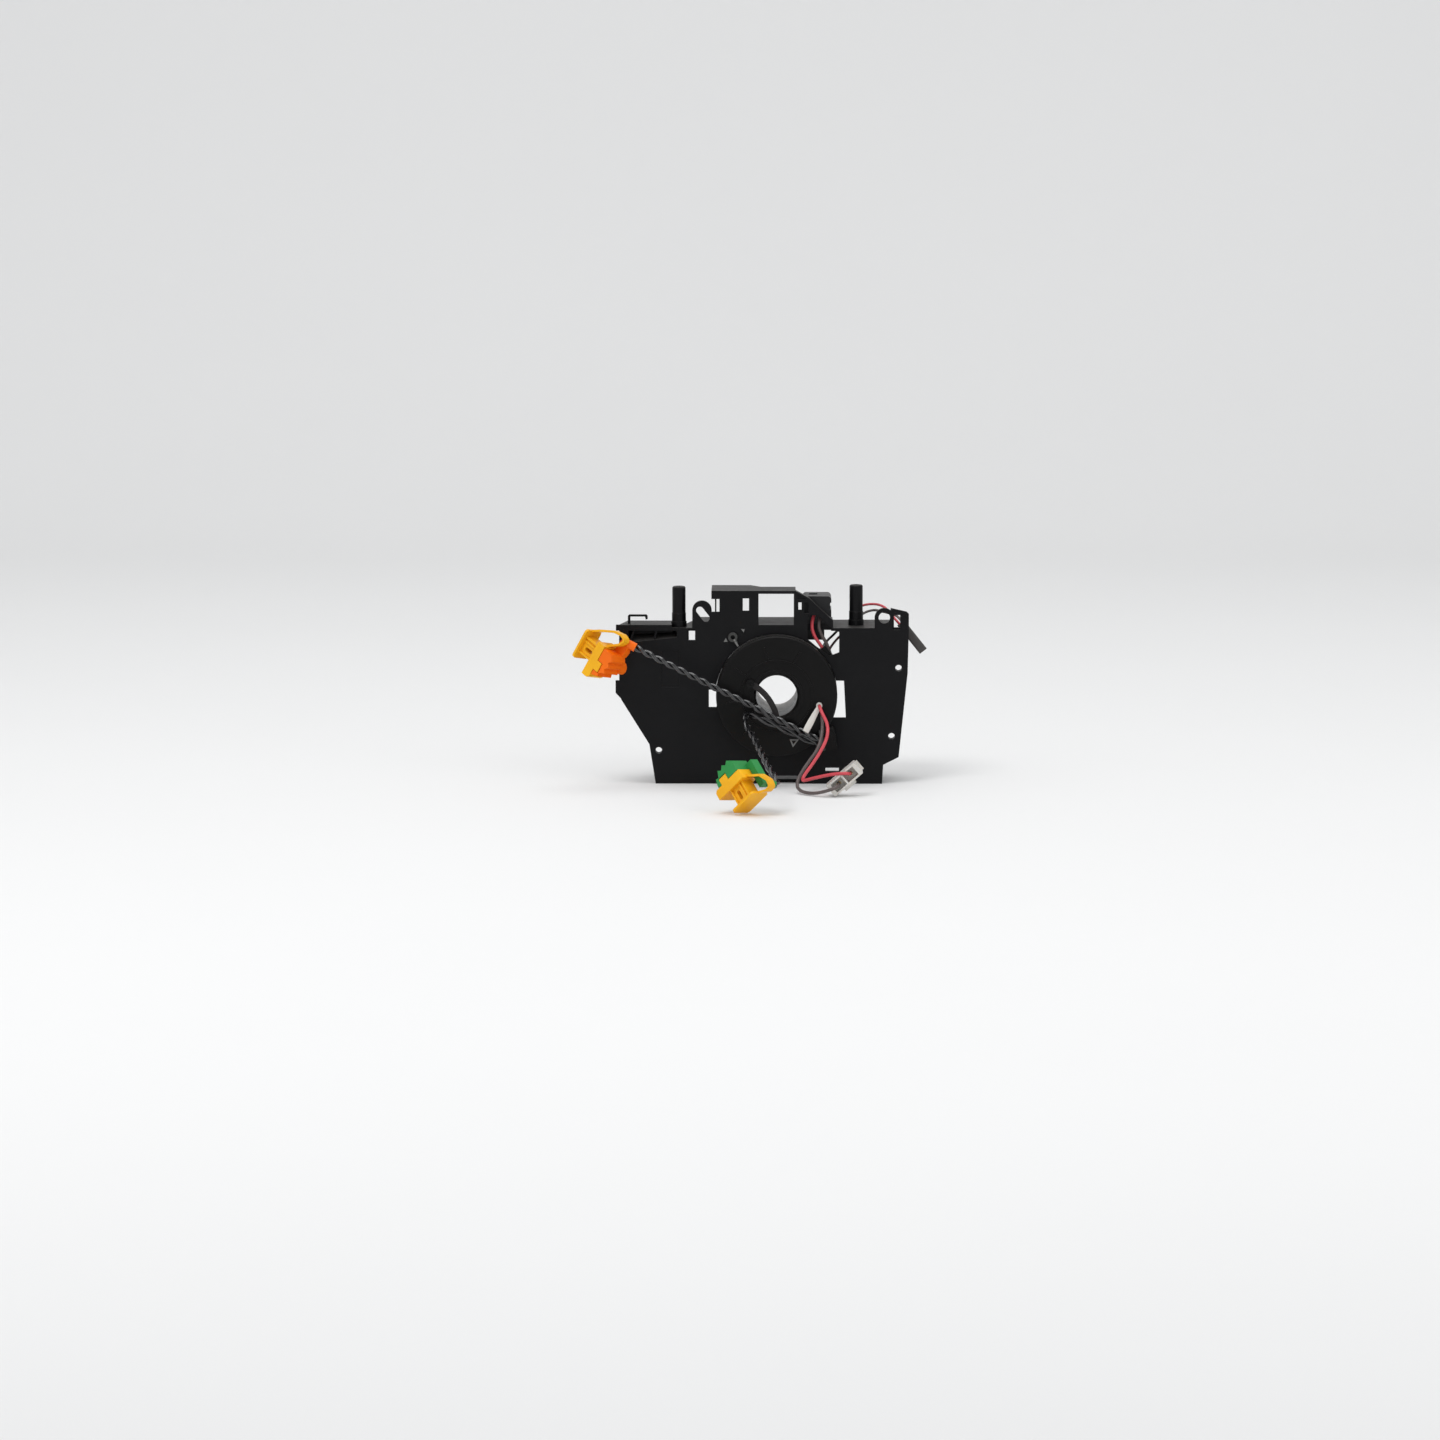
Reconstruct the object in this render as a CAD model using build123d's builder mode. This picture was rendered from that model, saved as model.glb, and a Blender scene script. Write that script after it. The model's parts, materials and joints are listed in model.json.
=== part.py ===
"""Steering clock spring in its switch carrier, built upright in millimetres.

X is right seen from the driver's seat, +Y runs down the steering column away
from the driver, +Z is up. The origin is on the column axis at the front face
of the carrier wall.
"""
import os
from math import cos, pi, radians, sin, tan

from build123d import *

os.makedirs("parts", exist_ok=True)

# ---------------------------------------------------------------- carrier
wall = 2.5              # front wall of the carrier
web = 2.2               # rims, partitions and floors of the switch bays
rib = 1.2               # thin stiffening ribs
tray_depth = 55.0       # front wall to the back of the switch bays
left_shelf_depth = 30.0
right_shelf_depth = 58.0
rim_depth = 7.0
foot_z = -61.0          # the edge the unit stands on
shelf_z = 45.7          # top of the right shelf
raised_z = 47.8         # top of the left shelf and of the turret floor
side_left = -107.3
side_right = 89.9
bay_gap = 10.7          # from the drum to the walls of the two switch bays
left_floor = (-100.5, -8.0)         # outer end and height of the left bay's floor
right_floor = (84.5, -15.0)
foot_ribs = [-74.0, -63.0, 63.0]

turret_left = -44.5
slope_depth = 8.0
turret_webs = [(-37.0, 42.0), (-27.5, 42.0), (-16.0, 30.0), (13.6, 8.0)]
turret_web = 1.6
turret_z = 71.1
roof_wall = 2.0
roof_depth = 42.0
roof_depth_right = 30.0
slope = [(12.8, 71.1), (21.9, 66.2), (31.1, 57.3), (38.3, 51.0), (38.3, 45.0)]

lug_r = 6.6
lug_thickness = 3.5
left_lug = (-50.9, 57.7)
left_lug_slot = (-50.3, 55.1)
left_slot_length = 11.8
left_slot_width = 5.2
left_slot_turn = -52.0
right_lug = (73.2, 52.7)
right_lug_hole_r = 3.9

screw_hole_r = 2.25
screw_holes = [(83.0, 18.3), (78.3, -28.4), (-80.4, -38.2)]
boss_r = 4.4
boss_depth = 10.0

pin_r = 4.55
pin_top_z = 73.5
pin_root_r = 4.8        # foot of the pin, below the part that the shroud slides on
pin_root_height = 9.6
pin_base_r = 5.3
pin_base_height = 3.8
pin_round = 1.4
pin_fin = 0.6           # how far the front fin stands out from the base collar
pins = [(-66.7, 9.5), (54.2, 21.5)]

# ------------------------------------------------------------------- drum
drum_r = 41.3
drum_fit = 0.3
rotor_step = 0.3        # the rotor's rim sits inside the drum's outline
drum_wall = 1.8
drum_front = -7.0
drum_back = 14.0
cover_wall = 2.2
rotor_front = -10.0
rotor_disc = 2.4
skirt_fit = 0.5
skirt_wall = 1.4
skirt_depth = 5.0
hub_wall = 3.4
hub_back = 24.0
bore_r = 14.0
mouth_r = 15.4
mouth_depth = 4.0
hub_fit = 0.08          # running fit of the hub in the rear cover
cancel_back = 52.0
cancel_wall = 3.2
cancel_gap = 0.6
lug_back = 68.0
cam_height = 3.5
ear_out = 7.2           # from the drum's outline to its screws
ear_pad_r = 4.0
ear_wall = 2.5
ear_turns = [20.0, 150.0, 265.0]
drum_screw_r = 1.5
drum_screw_head_r = 3.0
drum_screw_head = 2.2
drum_screw_bite = 7.0
latch_eye = (-29.9, 39.6)
latch_tip = (-27.2, 35.2)
latch_eye_r = 3.2
latch_hole_r = 1.5
latch_arm = 2.2
latch_wall = 3.0
film_wall = 0.8
film_fit = 0.4
ribbon_outer_r = 31.0
outlet_out = 1.2        # block on the drum that the wires come out of, past the drum's outline
outlet_turn = 38.0
outlet_length = 8.0
outlet_width = 12.0
outlet_rise = 11.5      # lead outlet above the rotor's face
arrow_in = 12.0         # arrow-head rib, in from the rim
lead_block_out = 4.95   # middle of the lead outlet, past the rotor's rim
lead_block_at = -38.0   # where it sits round the rim
lead_block_turn = 10.0
lead_block_size = (8.0, 15.0)
grommet_wall = 2.6
strap_screw = (-17.8, 9.0)
lock_screw_r = 1.6
hub_r = bore_r + hub_wall
cancel_r = hub_r + cancel_wall
rotor_r = drum_r - rotor_step
ear_r = drum_r + ear_out
outlet_r = drum_r + outlet_out
partition_x = drum_r + bay_gap
lead_block = ((rotor_r + lead_block_out) * cos(radians(lead_block_at)),
              (rotor_r + lead_block_out) * sin(radians(lead_block_at)))

# --------------------------------------------------------------- the leads
lead_d = 4.8            # twisted pair
wire_d = 2.3            # single core
feed_wire_d = 1.7       # thinner core of the feed

# -------------------------------------------------- forms on the rotor's face
face_rise = 1.0
face_ring_r = 25.0
face_rib_r = 29.6
face_rib_length = 9.6
mouth_lip = 2.6
rim_bevel = 0.7
lead_block_round = 1.6

# ------------------------------------------------- strap, clip and grommet
strap_foot = (0.6, -17.6)
strap_wall = 1.0
strap_width = 4.0
clip_eye = (28.9, -15.2, -6.0)      # hole for the red wire
clip_foot = (19.6, -23.6, -22.6)    # free end in front of the upper lead
clip_width = 4.4
clip_wall = 1.5
clip_boss = 1.0         # wall of the eyelet round the wire
grommet_place = (lead_block[0] - (lead_block_size[0] + grommet_wall) / 2 * cos(radians(lead_block_turn)),
                 lead_block[1] - (lead_block_size[0] + grommet_wall) / 2 * sin(radians(lead_block_turn)))

# ---------------------------------------------------------- feed connector
box_back = 41.0
box_wall = 1.6
box_floor = 4.0
tongue_mid = 26.5       # tongue that reaches down through the shelf
connector_tongue_width = 12.0
connector_tongue = 5.0
tongue_foot_z = 36.0
tongue_front = drum_back + cover_wall + 0.6
seat_fit = 0.3
feed_pin_r = 0.5
feed_pin_reach = 10.0

# ------------------------------------------------------------------- plugs
# Along each plug u runs along the grip and n from the grip to the housing.
grip_length = 22.0
grip_width = 16.0
grip_wall = 1.7
grip_round = 2.4
neck_length = 12.4
neck_width = 8.0
neck_ribs = [-5.6, 3.0, 5.6]
neck_rib_rise = 1.2
neck_slot_width = 2.7
neck_slot_at = -1.5
flange_low = -15.5
flange_high = 9.5
flange_foot = 13.8
flange_top = 20.5
flange_width = 15.0
flange_bevel = 1.6
cheek_low = -8.0        # two tongues of the lock that reach into the housing
cheek_high = -1.3
cheek_wall = 1.2
cheek_reach = 4.5
tether_width = 5.6
tether_wall = 1.5
tether_round = 1.8
lock_gap = 0.4          # between the flange and the housing when they are pushed home
lock_fit = 0.3
pocket_over = 0.5       # how far the pockets' mouths reach past the housing's faces
housing_low = -11.5
housing_high = 8.3
housing_width = 14.6
housing_teeth = [(-11.5, 22.6), (-10.2, 26.8), (-7.8, 26.2), (-5.6, 30.6), (-3.0, 28.8),
                 (-0.6, 31.4), (2.0, 29.4), (4.6, 31.4), (8.3, 28.5)]
arm_in = 3.4            # near side of the arm that the wires leave by
collar_wall = 0.6
contact_gap = 0.6       # free end of each contact below the mouth of its hole
contact_fit = 0.05
collar_reach = 6.0
nose_r = 4.6
nose_length = 6.5
nose_place = (-2.0, 26.0)
contact_r = 0.8
contact_pitch = 3.6
contact_depth = 4.0
contact_wall = 0.35
housing_foot = flange_top + lock_gap
upper_arm = [(7.5, housing_foot), (17.4, 22.0), (17.4, 28.6), (11.7, 29.9), (7.5, 29.0)]
upper_arm_out = 8.6
lower_arm = [(7.5, housing_foot), (7.5, 24.9), (14.6, 24.9), (14.6, 5.4), (10.0, 5.4), (10.0, housing_foot)]
lower_arm_out = 10.2
upper_tether = [(10.3, grip_wall / 2), (14.5, 7.0), (20.3, 17.5), (21.8, 24.4), (20.4, 29.3), (15.5, 26.5),
                (8.5, 17.5)]
lower_tether = [(10.3, grip_wall / 2), (17.5, -2.6), (21.6, -2.4), (22.2, 2.5), (18.5, 9.2), (12.0, 13.5),
                (8.5, 16.5)]
upper_plug_place = Plane(origin=(-129.5, -12.0, 36.4), x_dir=(0.464, -0.185, 0.867),
                         z_dir=(0.647, -0.598, -0.475))
lower_plug_place = Plane(origin=(-17.0, -168.4, -52.7), x_dir=(0.600, -0.449, 0.661),
                         z_dir=(-0.450, 0.492, 0.743))

# ---------------------------------------------------------- horn connector
horn_length = 25.0
horn_width = 9.4
horn_depth = 14.0
horn_pitch = 10.2
horn_wall = 1.3
horn_cavity = 7.0
horn_round = 0.8
horn_place = Plane(origin=(45.7, -59.5, -49.0), x_dir=(0.755, 0.0, 0.656), z_dir=(0, -1, 0))

# ------------------------------------------------------------- feed sleeve
sleeve_width = 6.0
sleeve_wall = 0.7
sleeve_height = feed_wire_d + 2 * sleeve_wall + 0.1
sleeve_round = 1.2
sleeve_length = 24.7
sleeve_place = Plane(origin=(84.6, 12.3, 48.1), x_dir=(0.782, 0.0, 0.624), z_dir=(0.624, 0.0, -0.782))


standing = (Align.CENTER, Align.CENTER, Align.MIN)


def depth_plane(y):
    """Plane at depth y that faces the driver: local x is X, local y is Z."""
    return Plane.XZ.offset(-y)


def polygon(points):
    """Closed straight-sided face on the sketch being built, at its true place."""
    Polygon(*points, align=None)


def polar(r, turn):
    """Point in the front view at radius r, turn degrees up from +X."""
    return (r * cos(radians(turn)), r * sin(radians(turn)))


def ear_place(turn):
    """Centre of the drum's fixing ear at that turn."""
    return polar(ear_r, turn)


def pin_places(middle):
    """Centres of the six feed pins in the front view."""
    return [(middle[0] + 4.4 * column, middle[1] + 2.8 * row)
            for column in (-1, 0, 1) for row in (-1, 1)]


def finish(piece, name):
    """Label a finished piece and write its STEP file."""
    piece.part.label = name
    export_step(piece.part, f"parts/{name}.step")
    print(f"{name}: {len(piece.part.solids())} solids, {piece.part.volume:.0f} mm3")


# ================================================================= carrier
front_outline = [
    (-82.5, foot_z), (-86.8, -34.0), (-105.9, -3.4), (side_left, 1.3),
    (side_left, shelf_z), (side_right, shelf_z), (side_right - 0.7, 15.0),
    (83.2, -42.7), (72.7, -48.0), (71.9, foot_z),
]
raised_left = (-109.5, -71.4)       # x range of the raised left shelf
raised_mid = (-57.5, 38.3)          # x range of the turret floor
lip_z = raised_z - 3.9              # lower edge of the left shelf's front lip
tab_x = -109.8
turret_outline = [(turret_left, shelf_z), (turret_left, turret_z)] + slope
bracket_outline = [
    (77.0, shelf_z - 1.0), (77.5, 59.4), (88.4, 56.9), (side_right, 55.4),
    (side_right, shelf_z - 1.0),
]
pocket_front = [(-101.0, 35.6), (-68.0, 39.2), (-68.0, lip_z), (-101.0, lip_z)]
pocket_back = [(-99.0, 40.0), (-69.0, 41.6), (-69.0, lip_z), (-99.0, lip_z)]
pocket_depth = 12.0
pocket_ribs = [(-101.2, -97.6), (-85.0, -82.2)]     # foot and head of each rib
wire_window = [(21.0, 54.5), (27.5, 54.5), (36.6, 46.0), (42.5, 43.0),
               (42.5, 29.0), (36.0, 26.5), (27.0, 33.0), (21.0, 38.0)]
wire_well = (19.0, 37.0)            # x range open for the wires in the shelf
wire_well_back = 9.5
box_front = 10.0                    # front of the feed connector on the shelf
wall_windows = [                    # middle x, middle z, width and height of each window in the wall
    (-43.6, -2.5, 5.2, 12.1), (-58.2, 41.2, 5.2, 7.7), (37.9, -51.3, 9.2, 2.5), (-42.0, 61.1, 6.0, 8.8),
    (-21.0, 61.7, 4.2, 8.5), (15.8, 60.7, 2.2, 5.1), (20.2, 59.4, 2.8, 7.7), (81.4, 49.6, 5.2, 10.2)]
drum_window = [(40.0, 9.7), (45.8, 9.7), (47.1, -15.6), (37.0, -15.6)]
turret_window = (-0.4, 24.0, 69.1)  # middle x, width and top
pad_recess = (-72.45, 17.85, 12.5, 25.3)
recess_depth = 0.7
step_notch = [(14.0, 65.3), (14.0, 68.8), (20.6, 65.3)]
step_depth = 1.2
foot_notch = (7.0, 16.0, 11.0)      # middle x, width and height
hook_outline = [
    (-101.5, raised_z - 0.5), (-101.5, 53.0), (-100.5, 54.0), (-88.9, 54.0), (-88.0, 53.1),
    (-88.0, 51.0), (-89.4, 50.6), (-89.8, 52.7), (-99.8, 52.7), (-99.8, raised_z - 0.5)]
hook_front = 8.0
hook_wall = 3.0
pointer_marks = [[(-36.6, 36.0), (-32.8, 36.0), (-34.6, 40.0)], [(-25.0, 45.6), (-21.0, 45.2), (-22.4, 41.8)]]
mark_rise = 0.6
pocket_body = [(-103.0, 32.0), (-60.0, 36.0), (-60.0, shelf_z - 1), (-103.0, shelf_z - 1)]
pocket_rib_foot = 34.5
pocket_rib_front = 0.8
foot_rib_side = [(0, foot_z), (tray_depth, foot_z), (tray_depth, foot_z + 6), (14.0, -26.0), (0, -18.0)]
pin_dimple = (1.8, 1.2)             # radius and depth of the dimple in each pin's head
pin_tail = (2.5, 8.0)               # tip radius and length of the left pin's root below its shelf
shelf_cut = 8.0                     # height of the cuts that pass through the shelf
overlap = 0.5                       # how far one moulded form runs into the next
cut_start = -1.0                    # depth at which cuts through the wall start

with BuildPart() as carrier:
    # front wall with its lugs, turret and corner bracket
    with BuildSketch(depth_plane(0)):
        polygon(front_outline)
        polygon([(side_left + 1, -2.5), (tab_x, 1.3), (tab_x, 9.7), (side_left + 1, 9.7)])
        polygon([(raised_left[0], lip_z), (raised_left[0], raised_z),
                 (raised_left[1], raised_z), (raised_left[1], lip_z)])
        polygon([(raised_mid[0], shelf_z - 1), (raised_mid[0], raised_z),
                 (raised_mid[1], raised_z), (raised_mid[1], shelf_z - 1)])
        polygon(turret_outline)
        polygon(bracket_outline)
    extrude(amount=-wall)
    # rim round the back of the front wall
    with BuildSketch(depth_plane(0)):
        polygon(front_outline)
        offset(amount=-web, mode=Mode.SUBTRACT)
    extrude(amount=-rim_depth)
    # thick eyes either side of the turret
    with BuildSketch(depth_plane(0)):
        for (x, z) in (left_lug, right_lug):
            with Locations((x, z)):
                Circle(lug_r)
            with Locations((x, (z + shelf_z - 1) / 2)):
                Rectangle(2 * lug_r, z - shelf_z + 1)
    extrude(amount=-lug_thickness)
    # shelves, seen in plan
    with BuildSketch(Plane.XY.offset(shelf_z)):
        polygon([(side_left, 0), (side_left + 5, left_shelf_depth), (-62, left_shelf_depth),
                 (-partition_x - 5, tray_depth), (36, tray_depth), (36, right_shelf_depth),
                 (80, right_shelf_depth), (80, rim_depth), (side_right, rim_depth),
                 (side_right, 0)])
    extrude(amount=-web)
    with BuildSketch(Plane.XY.offset(raised_z)):
        polygon([(raised_left[0], 0), (raised_left[0] + 2.5, 3), (raised_left[0] + 7.5, left_shelf_depth),
                 (raised_left[1], left_shelf_depth), (raised_left[1], 0)])
        polygon([(raised_mid[0], 0), (raised_mid[0], tray_depth), (raised_mid[1], tray_depth),
                 (raised_mid[1], 0)])
    extrude(amount=shelf_z - raised_z - 0.5)
    # foot plate, partitions and floors of the two switch bays
    with BuildSketch(depth_plane(0)):
        with Locations(((front_outline[0][0] + front_outline[-1][0]) / 2, foot_z + web / 2)):
            Rectangle(front_outline[-1][0] - front_outline[0][0] - 1, web)
        for side in (-1, 1):
            with Locations((side * partition_x, (foot_z + shelf_z) / 2)):
                Rectangle(web, shelf_z - foot_z)
    extrude(amount=-tray_depth)
    with BuildSketch(depth_plane(0)):
        with Locations(((left_floor[0] - partition_x) / 2, left_floor[1])):
            Rectangle(-partition_x - left_floor[0], web)
    extrude(amount=-left_shelf_depth)
    with BuildSketch(depth_plane(0)):
        with Locations(((right_floor[0] + partition_x) / 2, right_floor[1])):
            Rectangle(right_floor[0] - partition_x, web)
    extrude(amount=-tray_depth)
    # stiffening ribs below the bays, with sloping feet
    for x in foot_ribs:
        with BuildSketch(Plane.YZ.offset(x)):
            polygon(foot_rib_side)
        extrude(amount=rib)
    # screw bosses
    with BuildSketch(depth_plane(0)):
        with Locations(*screw_holes):
            Circle(boss_r)
    extrude(amount=-boss_depth)
    # bosses for the drum's three screws
    with BuildSketch(depth_plane(0)):
        for turn in ear_turns:
            with Locations(ear_place(turn)):
                Circle(ear_pad_r)
    extrude(amount=-(drum_back - ear_wall))
    # turret roof with its stepped back edge, and the webs that carry it
    with BuildSketch(Plane.XY.offset(turret_z)):
        polygon([(turret_left, 0), (turret_left, roof_depth), (-18, roof_depth),
                 (-11, roof_depth_right), (slope[0][0], roof_depth_right), (slope[0][0], 0)])
    extrude(amount=-roof_wall)
    with BuildSketch(Plane.XY.offset(turret_z - roof_wall / 2)):
        for (x, depth) in turret_webs:
            with Locations((x, depth / 2)):
                Rectangle(turret_web, depth)
        with Locations((-41.6, 8)):
            Rectangle(1.0, 1.6)
    extrude(amount=raised_z - turret_z)
    # sloping side of the turret
    with BuildSketch(depth_plane(0)):
        polygon(slope + [(x - 2.0, z - 1.6) for (x, z) in reversed(slope)])
    extrude(amount=-slope_depth)
    # recessed ledge below the left shelf
    with BuildSketch(depth_plane(0)):
        polygon(pocket_body)
    extrude(amount=-pocket_depth - web)
    with BuildSketch(depth_plane(-0.1)):
        polygon(pocket_front)
    with BuildSketch(depth_plane(pocket_depth)):
        polygon(pocket_back)
    loft(mode=Mode.SUBTRACT)
    with BuildSketch(depth_plane(pocket_rib_front)):
        for (foot_x, head_x) in pocket_ribs:
            polygon([(foot_x, pocket_rib_foot), (foot_x + rib, pocket_rib_foot),
                     (head_x + rib, lip_z + overlap), (head_x, lip_z + overlap)])
    extrude(amount=-pocket_depth)
    # guide pins with their base collars, round heads and front fins
    for (x, y) in pins:
        with Locations((x, y, shelf_z - overlap)):
            Cylinder(pin_base_r, pin_base_height + overlap, align=standing)
            Cylinder(pin_root_r, pin_root_height + overlap, align=standing)
            Cylinder(pin_r, pin_top_z - shelf_z + overlap, align=standing)
        with BuildSketch(Plane.YZ.offset(x - rib / 2)):
            polygon([(y, shelf_z), (y - pin_base_r - 2 * pin_fin, shelf_z),
                     (y - pin_root_r - pin_fin, shelf_z + pin_root_height - pin_fin),
                     (y, shelf_z + pin_root_height - pin_fin)])
        extrude(amount=rib)
    heads = carrier.edges().filter_by(GeomType.CIRCLE).filter_by_position(
        Axis.Z, pin_top_z - 0.01, pin_top_z + 0.01)
    fillet(heads, pin_round)
    for (x, y) in pins:
        with Locations((x, y, pin_top_z)):
            Cylinder(*pin_dimple, mode=Mode.SUBTRACT)
    # root of the left pin, below its shelf
    with Locations((pins[0][0], pins[0][1], shelf_z - pin_tail[1])):
        Cone(pin_tail[0], pin_base_r, pin_tail[1], align=standing)
    # hook on the left shelf
    with BuildSketch(depth_plane(hook_front)):
        polygon(hook_outline)
    extrude(amount=-hook_wall)
    # everything that goes through the front wall
    with BuildSketch(depth_plane(cut_start)):
        polygon(drum_window)
        polygon(wire_window)
        for (x, z, width, height) in wall_windows:
            with Locations((x, z)):
                Rectangle(width, height)
    extrude(amount=cut_start - wall - overlap, mode=Mode.SUBTRACT)
    # well for the drum, right through what stands behind the wall
    with BuildSketch(depth_plane(cut_start)):
        Circle(drum_r + drum_fit)
    extrude(amount=cut_start - drum_back - cover_wall - 2 * drum_fit, mode=Mode.SUBTRACT)
    with BuildSketch(depth_plane(cut_start)):
        with Locations((turret_window[0], (raised_z + turret_window[2]) / 2)):
            Rectangle(turret_window[1], turret_window[2] - raised_z)
    extrude(amount=cut_start - wall, mode=Mode.SUBTRACT)
    with BuildSketch(depth_plane(cut_start)):
        with Locations(*screw_holes):
            Circle(screw_hole_r)
        with Locations(right_lug):
            Circle(right_lug_hole_r)
        with Locations(Location(left_lug_slot, left_slot_turn)):
            SlotOverall(left_slot_length, left_slot_width)
    extrude(amount=2 * cut_start - boss_depth, mode=Mode.SUBTRACT)
    # notch in the foot, shallow pad recess and the step beside the turret's right slots
    with Locations((foot_notch[0], 0, foot_z)):
        Box(foot_notch[1], 2 * rim_depth + 2, foot_notch[2], mode=Mode.SUBTRACT)
    with BuildSketch(depth_plane(cut_start)):
        with Locations(pad_recess[:2]):
            Rectangle(*pad_recess[2:])
    extrude(amount=cut_start - recess_depth, mode=Mode.SUBTRACT)
    with BuildSketch(depth_plane(cut_start)):
        polygon(step_notch)
    extrude(amount=cut_start - step_depth, mode=Mode.SUBTRACT)
    # slot in the shelf for the feed connector's tongue
    with Locations((tongue_mid, tongue_front + connector_tongue / 2, shelf_z)):
        Box(connector_tongue_width + 2 * seat_fit, connector_tongue + 2 * seat_fit, shelf_cut,
            mode=Mode.SUBTRACT)
    # well in the shelf that the short wires rise through
    with Locations(((wire_well[0] + wire_well[1]) / 2, (wall + wire_well_back) / 2, shelf_z)):
        Box(wire_well[1] - wire_well[0], wire_well_back - wall, shelf_cut, mode=Mode.SUBTRACT)
    # blind holes for the drum's screws
    with BuildSketch(depth_plane(drum_back - ear_wall)):
        for turn in ear_turns:
            with Locations(ear_place(turn)):
                Circle(drum_screw_r)
    extrude(amount=drum_screw_bite, mode=Mode.SUBTRACT)

    # raised pointer marks by the centring latch
    with BuildSketch(depth_plane(-mark_rise)):
        for mark in pointer_marks:
            polygon(mark)
    extrude(amount=-mark_rise - overlap)

finish(carrier, "carrier")

with BuildPart() as centring_latch:
    with BuildSketch(depth_plane(-latch_wall)):
        with Locations(latch_eye):
            Circle(latch_eye_r)
        with BuildLine():
            Line(latch_eye, latch_tip)
        trace(line_width=latch_arm)
        with Locations(latch_eye):
            Circle(latch_hole_r, mode=Mode.SUBTRACT)
    extrude(amount=-latch_wall)
finish(centring_latch, "centring_latch")

# ============================================================ drum housing
with BuildPart() as drum_housing:
    with BuildSketch(depth_plane(drum_front)):
        Circle(drum_r)
        Circle(drum_r - drum_wall, mode=Mode.SUBTRACT)
    extrude(amount=drum_front - drum_back)
    # ears that sit on the carrier's bosses
    with BuildSketch(depth_plane(drum_back - ear_wall)):
        for turn in ear_turns:
            with Locations(ear_place(turn)):
                Circle(ear_pad_r)
            with Locations(Location(((ear_r + drum_r) / 2 * cos(radians(turn)),
                                     (ear_r + drum_r) / 2 * sin(radians(turn))), turn)):
                Rectangle(ear_r - drum_r + 1.6, 2 * ear_pad_r)
        Circle(drum_r - 0.5 * drum_wall, mode=Mode.SUBTRACT)
        for turn in ear_turns:
            with Locations(ear_place(turn)):
                Circle(drum_screw_r, mode=Mode.SUBTRACT)
    extrude(amount=-ear_wall)
    # outer bead at the front edge and the block that the short wires come out of
    with BuildSketch(depth_plane(drum_front)):
        Circle(drum_r)
        Circle(drum_r - drum_wall - 0.6, mode=Mode.SUBTRACT)
    extrude(amount=-1.0)
    with BuildSketch(depth_plane(wall + 0.5)):
        with Locations(Location(polar(outlet_r, outlet_turn), outlet_turn)):
            Rectangle(outlet_length, outlet_width)
        Circle(drum_r - 0.5 * drum_wall, mode=Mode.SUBTRACT)
    extrude(amount=-(drum_back - wall - 2.5))

finish(drum_housing, "drum_housing")

# ============================================================== rear cover
with BuildPart() as rear_cover:
    with BuildSketch(depth_plane(drum_back)):
        Circle(drum_r)
        Circle(hub_r + hub_fit, mode=Mode.SUBTRACT)
    extrude(amount=-cover_wall)
    with BuildSketch(depth_plane(drum_back - 1.6)):
        Circle(drum_r - drum_wall - 0.3)
        Circle(drum_r - drum_wall - 1.7, mode=Mode.SUBTRACT)
    extrude(amount=-1.6)
    # stiffening ribs and ring on the back
    with BuildSketch(depth_plane(drum_back + cover_wall)):
        Circle(drum_r - 4)
        Circle(drum_r - 5.2, mode=Mode.SUBTRACT)
        with PolarLocations((cancel_r + 2.4 + drum_r - 5) / 2 + 0.9, 8, start_angle=10):
            Rectangle(drum_r - 5 - cancel_r - 3.4, rib)
    extrude(amount=-1.6)

finish(rear_cover, "rear_cover")

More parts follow.
